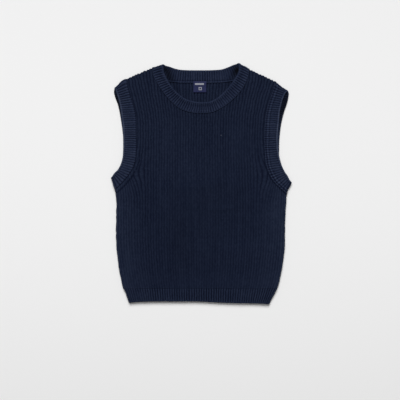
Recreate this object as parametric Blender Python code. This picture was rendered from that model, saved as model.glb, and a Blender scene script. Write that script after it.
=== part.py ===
"""Sleeveless ribbed-knit sweater vest, laid flat on its back.

Built as it is made: a front and a back panel, each with a tighter hem band below it, a
neckband, an armhole band on each side, and a small woven label inside the back neck.
Every piece is a wall of cloth. The back layer lies on the ground, the front layer lies on
the back layer, and both turn into each other in a rounded fold at the sides and shoulders.

X runs to the right, Y up the garment towards the neck, and Z up off the ground. The origin
is on the ground under the middle of the garment. Sizes and tables are in millimetres.
"""

import math
from collections import namedtuple

import bpy
from mathutils import Vector
from mathutils.geometry import delaunay_2d_cdt

MM = 0.001

# Walls and seams
PANEL_WALL = 3.0
BAND_WALL = 3.6
HEM_WALL = 3.4
LABEL_WALL = 0.9
SEAM_GAP = 0.3
FOLD_RADIUS = 2.1               # middle of the wall, where front turns into back
FOLD_TURNS = (90, 60, 30, 0)    # rows of the fold, in degrees, from its outermost line inwards
FOLD_CLEAR = 6.0                # no other row comes this near to a fold
PANEL_SETTLE = 0.8              # the front panel sinks this much towards the back panel
SETTLE_REACH = 14.0             # over this distance from its seams

# Mesh
CURVE_STEP = 11.0
FOLD_STEP = 22.0
PANEL_STEP = 20.0
PANEL_EDGE_CLEAR = 12.0         # the inner net of a panel stays this far from its outline
SAME_PLACE = 0.00001
SHARP_EDGE = math.radians(50)
BAND_LANES = (0.0, 0.27, 0.62, 1.0)
LABEL_LANES = 4

FRONT = 1
BACK = -1

BandRow = namedtuple("BandRow", "seam_x seam_y edge_x edge_y back_shift", defaults=(0.0,))
SideRow = namedtuple("SideRow", "x y")
Swell = namedtuple("Swell", "x y half_width half_length height")
Spot = namedtuple("Spot", "x y turn out_x out_y", defaults=(0.0, 0.0, 0.0))

# Each band row runs from the seam with the panel to the band's free edge. The first and the
# last row of each band are its folds, at the shoulder or under the arm.
NECK_FRONT = [
    BandRow(-106.0, 249.8, -81.6, 257.6),
    BandRow(-103.5, 234.0, -80.0, 240.5),
    BandRow(-95.5, 218.0, -73.0, 224.5),
    BandRow(-82.5, 198.0, -62.5, 208.0),
    BandRow(-65.5, 178.0, -49.0, 194.0),
    BandRow(-46.0, 162.0, -34.0, 183.5),
    BandRow(-24.5, 154.5, -17.0, 178.0),
    BandRow(0.0, 152.5, 0.5, 176.0),
    BandRow(23.0, 154.5, 17.5, 177.5),
    BandRow(44.5, 164.5, 32.5, 184.5),
    BandRow(64.5, 179.0, 48.0, 197.5),
    BandRow(81.0, 196.0, 61.5, 212.5),
    BandRow(93.5, 213.5, 71.0, 226.5),
    BandRow(100.5, 231.0, 79.0, 240.5),
    BandRow(103.0, 248.0, 80.2, 260.6),
]
NECK_BACK = [
    BandRow(-106.0, 249.8, -81.6, 257.6),
    BandRow(-101.0, 234.5, -76.2, 254.8),
    BandRow(-89.0, 225.5, -69.2, 253.0),
    BandRow(-72.0, 220.5, -60.3, 249.8),
    BandRow(-52.5, 218.0, -47.5, 246.5),
    BandRow(-31.0, 217.5, -29.0, 245.3),
    BandRow(-1.0, 217.0, -1.0, 245.1),
    BandRow(27.0, 217.5, 26.0, 245.5),
    BandRow(49.5, 218.5, 44.5, 247.2),
    BandRow(68.0, 221.5, 58.5, 252.1),
    BandRow(85.0, 225.5, 67.5, 256.1),
    BandRow(97.0, 233.5, 74.3, 258.2),
    BandRow(103.0, 248.0, 80.2, 260.6),
]
ARM_LEFT = [
    BandRow(-161.0, 226.8, -186.0, 207.5),
    BandRow(-158.0, 210.5, -183.4, 200.0, 4.6),
    BandRow(-153.5, 192.5, -179.2, 186.5, 5.8),
    BandRow(-147.5, 175.5, -175.2, 172.0, 4.3),
    BandRow(-143.0, 159.0, -172.6, 157.0, 3.4),
    BandRow(-140.5, 140.5, -170.0, 139.5, 3.0),
    BandRow(-140.0, 119.0, -168.0, 119.0, 2.0),
    BandRow(-140.0, 95.5, -167.7, 96.0),
    BandRow(-139.5, 74.0, -167.7, 76.0),
    BandRow(-141.0, 54.5, -168.8, 59.3),
    BandRow(-145.5, 38.0, -172.5, 44.6),
    BandRow(-154.0, 22.0, -178.8, 32.2),
    BandRow(-166.0, 7.5, -186.7, 24.0),
    BandRow(-176.5, -3.0, -191.2, 17.3),
    BandRow(-186.4, -12.6, -194.2, 13.2),
]
ARM_RIGHT = [
    BandRow(159.0, 221.0, 185.5, 201.0),
    BandRow(155.0, 206.5, 181.3, 196.0, 6.2),
    BandRow(149.5, 189.5, 175.0, 183.0, 11.0),
    BandRow(144.0, 172.5, 171.0, 169.0, 11.1),
    BandRow(139.5, 155.0, 168.0, 153.5, 8.9),
    BandRow(137.0, 137.5, 166.5, 136.0, 6.1),
    BandRow(136.0, 117.0, 164.5, 117.0, 5.0),
    BandRow(135.5, 95.5, 163.5, 96.0, 4.0),
    BandRow(135.5, 74.0, 164.5, 76.0, 2.5),
    BandRow(137.0, 54.5, 167.2, 58.3),
    BandRow(141.0, 35.0, 172.5, 40.2),
    BandRow(149.5, 15.5, 179.2, 26.4),
    BandRow(160.5, 0.5, 184.8, 18.3),
    BandRow(172.5, -10.5, 189.0, 10.0),
    BandRow(184.3, -21.5, 193.5, 4.0),
]
HEM = [
    BandRow(-169.0, -223.5, -156.2, -254.6),
    BandRow(-148.0, -224.0, -140.3, -252.8),
    BandRow(-125.0, -224.2, -120.2, -252.0),
    BandRow(-102.0, -224.3, -99.4, -251.6),
    BandRow(-52.0, -224.6, -51.2, -251.5),
    BandRow(0.0, -224.6, -0.2, -251.7),
    BandRow(40.0, -224.8, 39.2, -253.9),
    BandRow(80.0, -225.0, 77.6, -255.1),
    BandRow(104.0, -224.9, 99.8, -255.4),
    BandRow(127.0, -224.8, 119.6, -255.8),
    BandRow(148.0, -224.6, 135.6, -256.6),
    BandRow(163.4, -224.5, 145.4, -257.2),
]
# Outermost lines of the folds between a panel's seams
SHOULDER_LEFT = [SideRow(-106.0, 249.8), SideRow(-134.0, 239.8), SideRow(-161.0, 226.8)]
SHOULDER_RIGHT = [SideRow(159.0, 221.0), SideRow(130.5, 234.6), SideRow(103.0, 248.0)]
SIDE_LEFT = [
    SideRow(-186.4, -12.6),
    SideRow(-183.4, -29.5),
    SideRow(-183.5, -75.0),
    SideRow(-182.0, -148.0),
    SideRow(-177.0, -181.0),
    SideRow(-169.0, -223.5),
]
SIDE_RIGHT = [
    SideRow(163.4, -224.5),
    SideRow(173.5, -181.0),
    SideRow(177.9, -151.5),
    SideRow(180.7, -65.5),
    SideRow(183.2, -34.0),
    SideRow(184.3, -21.5),
]
# Where air stays between the layers and the front stands a little prouder
SWELLS = [
    Swell(-158.0, -60.0, 20.0, 110.0, 1.3),
    Swell(156.0, -90.0, 20.0, 105.0, 1.5),
    Swell(-95.0, 120.0, 38.0, 60.0, 0.9),
    Swell(92.0, 105.0, 34.0, 70.0, 0.8),
    Swell(-20.0, -40.0, 60.0, 26.0, 0.7),
    Swell(45.0, -150.0, 70.0, 30.0, 0.9),
    Swell(-90.0, -185.0, 45.0, 26.0, 0.8),
]

# Label, sewn over the back neck seam
LABEL_LEFT = -17.0
LABEL_RIGHT = 10.5
LABEL_TOP = 221.0
LABEL_BOTTOM = 197.5
LABEL_SLOPE_TOP = 216.0         # from here the label slopes down off the thicker neckband,
LABEL_SLOPE_BOTTOM = 208.0      # and from here it lies on the panel

NAVY = (0.0093, 0.0130, 0.0273, 1.0)
BAND_NAVY = (0.0116, 0.0160, 0.0331, 1.0)
LABEL_BLUE = (0.0260, 0.0300, 0.1100, 1.0)
KNIT_ROUGHNESS = 0.92
LABEL_ROUGHNESS = 0.6


def smooth(rows, step):
    """Points along a smooth curve through the rows, about a step apart. Every column is smoothed."""
    points = [tuple(map(float, row)) for row in rows]
    spans = [math.dist(a[:2], b[:2]) for a, b in zip(points, points[1:])]
    slopes = [tuple((q - p) / h for p, q in zip(a, b)) for a, b, h in zip(points, points[1:], spans)]
    tangents = [slopes[0]]
    for i in range(1, len(points) - 1):
        before, after = spans[i - 1], spans[i]
        tangents.append(tuple(
            (p * after + q * before) / (before + after) for p, q in zip(slopes[i - 1], slopes[i])
        ))
    tangents.append(slopes[-1])
    curve = []
    for i, h in enumerate(spans):
        count = max(1, round(h / step))
        for k in range(count):
            s = k / count
            blend = (
                (1 + 2 * s) * (1 - s) ** 2,
                h * s * (1 - s) ** 2,
                s * s * (3 - 2 * s),
                h * s * s * (s - 1),
            )
            parts = zip(points[i], tangents[i], points[i + 1], tangents[i + 1])
            curve.append(tuple(sum(w * v for w, v in zip(blend, part)) for part in parts))
    curve.append(points[-1])
    return curve


def unit(x, y):
    """The direction of (x, y)."""
    length = math.hypot(x, y)
    return x / length, y / length


def inward_normal(start, end, inside):
    """Square to the line from start to end, pointing to the side where inside lies."""
    nx, ny = unit(start[1] - end[1], end[0] - start[0])
    side = nx * (inside[0] - start[0]) + ny * (inside[1] - start[1])
    return (nx, ny) if side > 0 else (-nx, -ny)


def fold_inset(turn):
    """How far inside the outermost line the middle of the wall runs, in one row of a fold."""
    return PANEL_WALL / 2 + FOLD_RADIUS * (1 - math.sin(math.radians(turn)))


def fold_rungs(first, second):
    """Rows of a band's fold, from its outermost line in: (seam, edge, turn, outward)."""
    seam, edge = first[:2], first[2:4]
    normal = inward_normal(seam, edge, second[:2])
    rungs = []
    for turn in FOLD_TURNS:
        inset = fold_inset(turn)
        rungs.append((
            (seam[0] + normal[0] * inset, seam[1] + normal[1] * inset),
            (edge[0] + normal[0] * inset, edge[1] + normal[1] * inset),
            turn,
            (-normal[0], -normal[1]),
        ))
    return rungs


def band_rungs(rows, layer):
    """All rungs across one layer of a band, from fold to fold: (seam, edge, turn, outward)."""
    side = 1 if rows[0].seam_x < rows[0].edge_x else -1
    moved = []
    for row in rows:
        shift = side * row.back_shift if layer == BACK else 0.0
        moved.append((row.seam_x + shift, row.seam_y, row.edge_x + shift, row.edge_y))
    curve = smooth(moved, CURVE_STEP)
    start = fold_rungs(moved[0], moved[1])
    finish = fold_rungs(moved[-1], moved[-2])
    middle = []
    for point in curve[1:-1]:
        seam, edge = point[:2], point[2:4]
        gaps = [
            math.dist(seam, moved[0][:2]), math.dist(edge, moved[0][2:]),
            math.dist(seam, moved[-1][:2]), math.dist(edge, moved[-1][2:]),
        ]
        if min(gaps) > FOLD_CLEAR:
            middle.append((seam, edge, 0, (0.0, 0.0)))
    return start + middle + finish[::-1]


def seam_spots(rows, layer):
    """The panel's edge along a band, half a seam gap clear of it."""
    spots = []
    for seam, edge, turn, out in band_rungs(rows, layer):
        tx, ty = unit(edge[0] - seam[0], edge[1] - seam[1])
        x = seam[0] - tx * SEAM_GAP / 2
        y = seam[1] - ty * SEAM_GAP / 2
        spots.append(Spot(x, y, math.radians(turn), *out))
    return spots


def fold_rows(line, first_ends, last_ends):
    """Rows of spots along a panel's fold, one for each turn, between the ends of two seams."""
    curve = smooth(line, FOLD_STEP)
    rows = []
    for k, turn in enumerate(FOLD_TURNS):
        inset = fold_inset(turn)
        row = [first_ends[k]]
        for before, here, after in zip(curve, curve[1:], curve[2:]):
            nx, ny = inward_normal(before, after, (0.0, 0.0))
            row.append(Spot(
                here[0] + nx * inset, here[1] + ny * inset, math.radians(turn), -nx, -ny
            ))
        row.append(last_ends[k])
        rows.append(row)
    return rows


def distance_to_loop(x, y, loop):
    """Distance from a place to a closed outline of spots."""
    nearest = math.inf
    for a, b in zip(loop, loop[1:] + loop[:1]):
        dx, dy = b.x - a.x, b.y - a.y
        length = dx * dx + dy * dy
        s = 0.0 if length == 0 else ((x - a.x) * dx + (y - a.y) * dy) / length
        s = min(1.0, max(0.0, s))
        nearest = min(nearest, math.hypot(x - a.x - s * dx, y - a.y - s * dy))
    return nearest


def inside_loop(x, y, loop):
    """Whether a place is inside a closed outline of spots."""
    inside = False
    for a, b in zip(loop, loop[1:] + loop[:1]):
        if (a.y > y) != (b.y > y) and x < a.x + (b.x - a.x) * (y - a.y) / (b.y - a.y):
            inside = not inside
    return inside


def swell_height(x, y):
    """How much the air under the front layer lifts it."""
    height = 0.0
    for s in SWELLS:
        away = ((x - s.x) / s.half_width) ** 2 + ((y - s.y) / s.half_length) ** 2
        height += s.height * math.exp(-away)
    return height


def set_height(spot, layer, wall, parting, lift=0.0):
    """The middle of the wall over a spot, and the direction in which its outer face looks.

    parting is half the gap of the seam on the fold, and lift raises the front layer.
    """
    centre = wall / 2 + FOLD_RADIUS
    rise = FOLD_RADIUS + lift if layer == FRONT else FOLD_RADIUS
    z = centre + layer * (parting * math.sin(spot.turn) + rise * math.cos(spot.turn))
    lean = Vector((
        spot.out_x * math.sin(spot.turn) * rise,
        spot.out_y * math.sin(spot.turn) * rise,
        layer * math.cos(spot.turn) * FOLD_RADIUS,
    ))
    return Vector((spot.x, spot.y, z)), lean.normalized()


def add_wall(name, places, faces, wall, material):
    """A closed wall of cloth around a sheet.

    places is a list of (middle, outward direction). faces turn anticlockwise seen from the
    outer side. The rim closes every edge that only one face uses.
    """
    count = len(places)
    outer = [middle + out * wall / 2 for middle, out in places]
    inner = [middle - out * wall / 2 for middle, out in places]
    solid_faces = [tuple(face) for face in faces]
    solid_faces += [tuple(count + i for i in reversed(face)) for face in faces]
    sides = {(a, b) for face in faces for a, b in zip(face, face[1:] + face[:1])}
    for a, b in sorted(sides):
        if (b, a) not in sides:
            solid_faces.append((b, a, count + a, count + b))
    mesh = bpy.data.meshes.new(name)
    mesh.from_pydata([p * MM for p in outer + inner], [], solid_faces)
    mesh.validate()
    mesh.materials.append(material)
    mesh.shade_smooth()
    mesh.set_sharp_from_angle(angle=SHARP_EDGE)
    obj = bpy.data.objects.new(name, mesh)
    bpy.context.scene.collection.objects.link(obj)
    return obj


def panel_outline(layer, neck_rows):
    """Closed outline of a panel, anticlockwise from above, and the rows of its four folds."""
    hem = seam_spots(HEM, layer)
    arm_right = seam_spots(ARM_RIGHT, layer)[::-1]
    neck = seam_spots(neck_rows, layer)[::-1]
    arm_left = seam_spots(ARM_LEFT, layer)
    turns = len(FOLD_TURNS)
    side_right = fold_rows(SIDE_RIGHT, hem[:-turns - 1:-1], arm_right[:turns])
    shoulder_right = fold_rows(SHOULDER_RIGHT, arm_right[:-turns - 1:-1], neck[:turns])
    shoulder_left = fold_rows(SHOULDER_LEFT, neck[:-turns - 1:-1], arm_left[:turns])
    side_left = fold_rows(SIDE_LEFT, arm_left[:-turns - 1:-1], hem[:turns])
    outline = (
        hem + side_right[0][1:-1] + arm_right + shoulder_right[0][1:-1]
        + neck + shoulder_left[0][1:-1] + arm_left + side_left[0][1:-1]
    )
    rows = [side_right[1:], shoulder_right[1:], shoulder_left[1:], side_left[1:]]
    return outline, [row for fold in rows for row in fold]


def panel(name, layer, neck_rows, material):
    """A front or back panel: its outline filled with a net of triangles, then given its wall."""
    outline, rows = panel_outline(layer, neck_rows)
    spots = list(outline)
    numbers = {(s.x, s.y): i for i, s in enumerate(spots)}
    edges = [(i, (i + 1) % len(outline)) for i in range(len(outline))]
    for row in rows:
        line = []
        for spot in row:
            key = (spot.x, spot.y)
            if key not in numbers:
                numbers[key] = len(spots)
                spots.append(spot)
            line.append(numbers[key])
        edges += list(zip(line, line[1:]))
    low_x, high_x = min(s.x for s in outline), max(s.x for s in outline)
    low_y, high_y = min(s.y for s in outline), max(s.y for s in outline)
    lane = PANEL_STEP * math.sqrt(3) / 2
    for j in range(int((high_y - low_y) / lane) + 1):
        for i in range(int((high_x - low_x) / PANEL_STEP) + 1):
            x = low_x + (i + 0.5 * (j % 2)) * PANEL_STEP
            y = low_y + j * lane
            if inside_loop(x, y, outline) and distance_to_loop(x, y, outline) > PANEL_EDGE_CLEAR:
                spots.append(Spot(x, y))
    points = [Vector((s.x, s.y)) for s in spots]
    only_inside = 1
    result = delaunay_2d_cdt(points, edges, [list(range(len(outline)))], only_inside, SAME_PLACE)
    flat_points, _, triangles, sources = result[:4]
    places = []
    for point, source in zip(flat_points, sources):
        spot = spots[source[0]] if source else Spot(point.x, point.y)
        away = distance_to_loop(spot.x, spot.y, outline)
        free = 1 - math.exp(-(away / SETTLE_REACH) ** 2)
        lift = free * (swell_height(spot.x, spot.y) - PANEL_SETTLE)
        places.append(set_height(spot, layer, PANEL_WALL, SEAM_GAP / 2, lift))
    faces = [list(t) if layer == FRONT else list(reversed(t)) for t in triangles]
    return add_wall(name, places, faces, PANEL_WALL, material)


def lanes_of(rungs, wall, layer, parting, lanes):
    """Places across every rung, a list for each rung."""
    grid = []
    for seam, edge, turn, out in rungs:
        tx, ty = unit(edge[0] - seam[0], edge[1] - seam[1])
        seam = (seam[0] + tx * SEAM_GAP / 2, seam[1] + ty * SEAM_GAP / 2)
        line = []
        for lane in lanes:
            x = seam[0] + (edge[0] - seam[0]) * lane
            y = seam[1] + (edge[1] - seam[1]) * lane
            spot = Spot(x, y, math.radians(turn), *out)
            line.append(set_height(spot, layer, wall, parting))
        grid.append(line)
    return grid


def strip_faces(rungs, lanes, closed):
    """Four-sided faces between neighbouring rungs, numbered rung by rung."""
    last = rungs if closed else rungs - 1
    faces = []
    for i in range(last):
        j = (i + 1) % rungs
        for k in range(lanes - 1):
            faces.append([i * lanes + k, j * lanes + k, j * lanes + k + 1, i * lanes + k + 1])
    return faces


def faces_outward(places, faces):
    """The faces, turned round if they look against their places' outward directions."""
    a, b, c = (places[i][0] for i in faces[len(faces) // 2][:3])
    out = places[faces[len(faces) // 2][0]][1]
    if (b - a).cross(c - a).dot(out) > 0:
        return faces
    return [face[::-1] for face in faces]


def ring_band(name, front_rows, back_rows, material):
    """A band knitted in the round: over the front layer and back along the back layer."""
    front = lanes_of(band_rungs(front_rows, FRONT), BAND_WALL, FRONT, 0.0, BAND_LANES)
    back = lanes_of(band_rungs(back_rows, BACK), BAND_WALL, BACK, 0.0, BAND_LANES)
    grid = front + back[::-1][1:-1]
    places = [place for line in grid for place in line]
    faces = faces_outward(places, strip_faces(len(grid), len(BAND_LANES), True))
    return add_wall(name, places, faces, BAND_WALL, material)


def hem_band(name, layer, material):
    """The tighter ribbing at the bottom of one panel, from side seam to side seam."""
    rungs = band_rungs(HEM, layer)
    grid = lanes_of(rungs, HEM_WALL, layer, SEAM_GAP / 2, BAND_LANES)
    places = [place for line in grid for place in line]
    faces = faces_outward(places, strip_faces(len(grid), len(BAND_LANES), False))
    return add_wall(name, places, faces, HEM_WALL, material)


def neck_label(name, material):
    """A woven label that lies on the inner face of the back, over the neck seam."""
    places = []
    for j in range(LABEL_LANES + 1):
        for i in range(LABEL_LANES + 1):
            x = LABEL_LEFT + (LABEL_RIGHT - LABEL_LEFT) * i / LABEL_LANES
            y = LABEL_BOTTOM + (LABEL_TOP - LABEL_BOTTOM) * j / LABEL_LANES
            down = (LABEL_SLOPE_TOP - y) / (LABEL_SLOPE_TOP - LABEL_SLOPE_BOTTOM)
            ground = BAND_WALL + (PANEL_WALL - BAND_WALL) * min(1.0, max(0.0, down))
            z = ground + SEAM_GAP + LABEL_WALL / 2
            places.append((Vector((x, y, z)), Vector((0.0, 0.0, 1.0))))
    faces = strip_faces(LABEL_LANES + 1, LABEL_LANES + 1, False)
    return add_wall(name, places, faces_outward(places, faces), LABEL_WALL, material)


def finish(name, colour, roughness):
    """A plain material."""
    material = bpy.data.materials.new(name)
    material.use_nodes = True
    shader = material.node_tree.nodes["Principled BSDF"]
    shader.inputs["Base Color"].default_value = colour
    shader.inputs["Roughness"].default_value = roughness
    shader.inputs["Metallic"].default_value = 0.0
    material.diffuse_color = colour
    return material


def main():
    """Builds every piece."""
    for obj in list(bpy.data.objects):
        bpy.data.objects.remove(obj)
    panel("front_panel", FRONT, NECK_FRONT, finish("front_knit", NAVY, KNIT_ROUGHNESS))
    panel("back_panel", BACK, NECK_BACK, finish("back_knit", NAVY, KNIT_ROUGHNESS))
    hem_band("front_hem_band", FRONT, finish("front_hem_rib", BAND_NAVY, KNIT_ROUGHNESS))
    hem_band("back_hem_band", BACK, finish("back_hem_rib", BAND_NAVY, KNIT_ROUGHNESS))
    ring_band("neckband", NECK_FRONT, NECK_BACK, finish("neck_rib", BAND_NAVY, KNIT_ROUGHNESS))
    ring_band("armhole_band_left", ARM_LEFT, ARM_LEFT,
              finish("armhole_rib_left", BAND_NAVY, KNIT_ROUGHNESS))
    ring_band("armhole_band_right", ARM_RIGHT, ARM_RIGHT,
              finish("armhole_rib_right", BAND_NAVY, KNIT_ROUGHNESS))
    neck_label("neck_label", finish("label_weave", LABEL_BLUE, LABEL_ROUGHNESS))


main()
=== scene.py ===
"""Sleeveless ribbed-knit sweater vest, laid flat on its back: the finish of every piece.

Each piece of cloth is a closed shell on the form of its CAD solid, with its ribs and stitches
raised by Geometry Nodes. X runs to the right, Y up the garment, Z up off the ground. Tables and
sizes are in millimetres, and meshes are made in metres.

Every knitted point knows its wale, which counts the ribs across the piece, and its course, which
counts the rows of stitches. Relief, colour and yarn all follow these two.
"""

import logging
import math
from dataclasses import dataclass, fields
from enum import Enum
from typing import Any, NamedTuple, Sequence, TypeVar

import bpy
import numpy as np
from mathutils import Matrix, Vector
from mathutils.geometry import delaunay_2d_cdt

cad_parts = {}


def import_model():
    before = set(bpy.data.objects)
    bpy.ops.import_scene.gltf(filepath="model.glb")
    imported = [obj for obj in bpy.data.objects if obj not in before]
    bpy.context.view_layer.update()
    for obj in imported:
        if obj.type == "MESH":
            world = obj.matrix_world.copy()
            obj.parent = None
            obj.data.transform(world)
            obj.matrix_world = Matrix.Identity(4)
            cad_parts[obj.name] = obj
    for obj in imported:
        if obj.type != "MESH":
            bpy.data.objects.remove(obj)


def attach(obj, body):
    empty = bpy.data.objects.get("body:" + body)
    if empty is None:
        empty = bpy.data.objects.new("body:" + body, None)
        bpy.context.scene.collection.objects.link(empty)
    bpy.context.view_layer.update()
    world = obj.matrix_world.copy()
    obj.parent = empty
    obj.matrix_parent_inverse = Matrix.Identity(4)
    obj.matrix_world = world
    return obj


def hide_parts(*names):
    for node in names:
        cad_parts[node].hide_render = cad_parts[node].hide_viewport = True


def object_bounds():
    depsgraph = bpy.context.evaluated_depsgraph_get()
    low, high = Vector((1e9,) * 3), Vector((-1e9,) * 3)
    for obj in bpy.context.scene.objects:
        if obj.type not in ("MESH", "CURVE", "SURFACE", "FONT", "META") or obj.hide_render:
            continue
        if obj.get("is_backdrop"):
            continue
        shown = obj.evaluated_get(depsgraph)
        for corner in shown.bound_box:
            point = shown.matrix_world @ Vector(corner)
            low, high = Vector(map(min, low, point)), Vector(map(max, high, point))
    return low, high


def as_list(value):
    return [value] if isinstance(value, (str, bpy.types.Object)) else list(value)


Array = np.ndarray
Row = TypeVar("Row")
MM = 0.001
KNIT_MAP = "knit"               # UV map of wale and course
RELIEF = "relief"               # attribute for painted shade and light by the relief: 0 in the deepest valley, 1 on the top of a stitch
PAINTED_LIGHT = "paling"               # attribute of painted light and shade: more than 0 where the cloth is painted paler, -1 where it is painted black
WORKING = ("wale", "course", "ease", "roll", "out")     # attributes that only the relief needs
BODY = "root"
PAINTED_LIGHT_TINT = (0.2, 0.0, -0.3)    # how much more of the painted light and shade red, green and blue take
PLAIN = 0.5                     # relief where the cloth lies smooth
LOWEST = 0.02                   # the underside rests this high
log = logging.getLogger("vest")


class Layer(Enum):
    """The two layers of the laid garment. The value is the side of the fold that it is on."""

    FRONT = 1
    BACK = -1


class Slot(Enum):
    """Material slots of the pieces."""

    BODY_KNIT = "body_knit"
    RIB_KNIT = "rib_knit"
    LABEL_WEAVE = "label_weave"


class BandRow(NamedTuple):
    """A line across a band, from its seam with the panel to its free edge."""

    seam_x: float
    seam_y: float
    edge_x: float
    edge_y: float
    back_shift: float = 0.0
    bow: float = 0.0            # how far its middle stands out at the fold


class SideRow(NamedTuple):
    """A point of the outermost line of a fold."""

    x: float
    y: float


class FanRow(NamedTuple):
    """Where the two wales that end at the armholes run, at one height."""

    y: float
    left: float
    right: float


class Level(NamedTuple):
    """A value at one height, such as a rib's width or how much painted highlight makes a free edge
    paler.
    """

    y: float
    value: float


class Bead(NamedTuple):
    """A ridge along a seam, or a groove where its height is less than 0."""

    away: float
    width: float
    height: float


class Swell(NamedTuple):
    """A soft rise, or a trough where its height is less than 0, of the cloth, its painted light and
    shade or its ribs.
    """

    x: float
    y: float
    half_width: float
    half_length: float
    height: float
    turned: float = 0.0         # degrees


class Slope(NamedTuple):
    """A smooth change up the garment: nothing below low, the whole amount above high."""

    low: float
    high: float
    amount: float


class Slab(NamedTuple):
    """A rectangle of raised satin on the label."""

    x: float
    y: float
    width: float
    height: float


def table_of(kind: type[Row], *rows: Sequence[float]) -> tuple[Row, ...]:
    """A table, whose rows are all of one kind."""
    return tuple(kind(*row) for row in rows)


# Walls and seams, as in the solids
PANEL_WALL = 3.0
BAND_WALL = 3.6
HEM_WALL = 3.4
LABEL_WALL = 0.9
SEAM_LAP = 0.25                 # each piece goes this far into the seam
LABEL_GAP = 0.3
PANEL_FLAT = (0.377, 0.473)     # metres
FOLD_RADIUS = 2.1
FOLD_CLEAR = 4.8                # further in than this, the rungs follow the table again
PANEL_SETTLE = 0.8              # the front sinks this far between its swells
SETTLE_REACH = 14.0             # about how far in from its outline the cloth is free to move
FOLD_TURNS = np.radians((90.0, 70.0, 50.0, 32.0, 15.0, 0.0))
FOLD_STEP = 8.0                 # between the points of a fold's outermost line
DENSE_STEP = 1.0                # between the rungs of a seam or a band, before they are spaced
LINE_STEP = 0.5                 # between the points of a fold's line, before they are spaced
THINNED = 3                     # distances from a dense line are measured to each third point

NECK_FRONT = table_of(
    BandRow,
    (-106, 249.8, -81.6, 257.6, 0, 0.4), (-103.5, 234, -80, 240.5), (-95.5, 218, -73, 224.5),
    (-82.5, 198, -62.5, 208), (-65.5, 178, -49, 194), (-46, 162, -34, 183.5),
    (-24.5, 154.5, -17, 178), (0, 152.5, 0.5, 176), (23, 154.5, 17.5, 177.5),
    (44.5, 164.5, 32.5, 184.5), (64.5, 179, 48, 197.5), (81, 196, 61.5, 212.5),
    (93.5, 213.5, 71, 226.5), (100.5, 231, 79, 240.5), (103, 248, 80.2, 260.6, 0, 0.6),
)
NECK_BACK = table_of(
    BandRow,
    (-106, 249.8, -81.6, 257.6, 0, 0.4), (-101, 234.5, -76.2, 254.8), (-89, 225.5, -69.2, 253),
    (-72, 220.5, -60.3, 249.8), (-52.5, 218, -47.5, 246.5), (-31, 217.5, -29, 245.3),
    (-1, 217, -1, 245.1), (27, 217.5, 26, 245.5), (49.5, 218.5, 44.5, 247.2),
    (68, 221.5, 58.5, 252.1), (85, 225.5, 67.5, 256.1), (97, 233.5, 74.3, 258.2),
    (103, 248, 80.2, 260.6, 0, 0.6),
)
ARM_LEFT = table_of(
    BandRow,
    (-161, 226.8, -186, 207.5, 0, 2.6), (-158, 210.5, -183.4, 200, 4.6),
    (-153.5, 192.5, -179.2, 186.5, 5.8), (-147.5, 175.5, -175.2, 172, 4.3),
    (-143, 159, -172.6, 157, 3.4), (-140.5, 140.5, -170, 139.5, 3), (-140, 119, -168, 119, 2),
    (-140, 95.5, -167.7, 96), (-139.5, 74, -167.7, 76), (-141, 54.5, -168.8, 59.3),
    (-145.5, 38, -172.5, 44.6), (-154, 22, -178.8, 32.2), (-166, 7.5, -186.7, 24),
    (-176.5, -3, -191.2, 17.3), (-186.4, -12.6, -194.2, 13.2, 0, 1),
)
ARM_RIGHT = table_of(
    BandRow,
    (159, 221, 185.5, 201, 0, -0.8), (155, 206.5, 181.3, 196, 6.2), (149.5, 189.5, 175, 183, 11),
    (144, 172.5, 171, 169, 11.1), (139.5, 155, 168, 153.5, 8.9), (137, 137.5, 166.5, 136, 6.1),
    (136, 117, 164.5, 117, 5), (135.5, 95.5, 163.5, 96, 4), (135.5, 74, 164.5, 76, 2.5),
    (137, 54.5, 167.2, 58.3), (141, 35, 172.5, 40.2), (149.5, 15.5, 179.2, 26.4),
    (160.5, 0.5, 184.8, 18.3), (172.5, -10.5, 189, 10), (184.3, -21.5, 193.5, 4, 0, -1.7),
)
HEM = table_of(
    BandRow,
    (-169, -223.5, -156.2, -254.6, 0, -1.2), (-148, -224, -140.3, -252.8),
    (-125, -224.2, -120.2, -252), (-102, -224.3, -99.4, -251.6), (-52, -224.6, -51.2, -251.5),
    (0, -224.6, -0.2, -251.7), (40, -224.8, 39.2, -253.9), (80, -225, 77.6, -255.1),
    (104, -224.9, 99.8, -255.4), (127, -224.8, 119.6, -255.8), (148, -224.6, 135.6, -256.6),
    (163.4, -224.5, 145.4, -257.2),
)
SHOULDER_LEFT = table_of(SideRow, (-106, 249.8), (-134, 239.8), (-161, 226.8))
SHOULDER_RIGHT = table_of(SideRow, (159, 221), (130.5, 234.6), (103, 248))
SIDE_LEFT = table_of(
    SideRow,
    (-186.4, -12.6), (-183.4, -29.5), (-183.5, -75), (-182, -148), (-177, -181), (-169, -223.5),
)
SIDE_RIGHT = table_of(
    SideRow,
    (163.4, -224.5), (173.5, -181), (177.9, -151.5), (180.7, -65.5), (183.2, -34), (184.3, -21.5),
)
WALE_FAN = table_of(
    FanRow,
    (-258, -120, 113.5), (-223, -129.6, 125.1), (-195, -134.6, 130.7), (-154, -139.1, 135.5),
    (-33, -141, 139), (91, -140, 135.5), (140, -140.8, 137.5), (182, -150, 146.5),
    (220, -159.5, 158.5), (262, -169, 165.5),
)
ARMHOLE_WALES = 24.14           # ribs from the middle to the armhole wale
FAN_STEP = 4.0
FAN_ROUNDS = 5                  # rounds in which a pulled wale's place is found

# How far the ribs are pulled sideways below the armholes
PULLS = table_of(Swell, (-150, 28, 22, 36, 15), (148, 22, 24, 38, -15))

# How wide the bands' ribs are
NECK_PITCHES = table_of(Level, (165, 4.75), (200, 5.15), (250, 5.25))
ARM_PITCHES = table_of(Level, (-10, 5.7), (40, 5.3), (80, 4.8), (150, 4.8), (190, 5.3))
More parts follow.
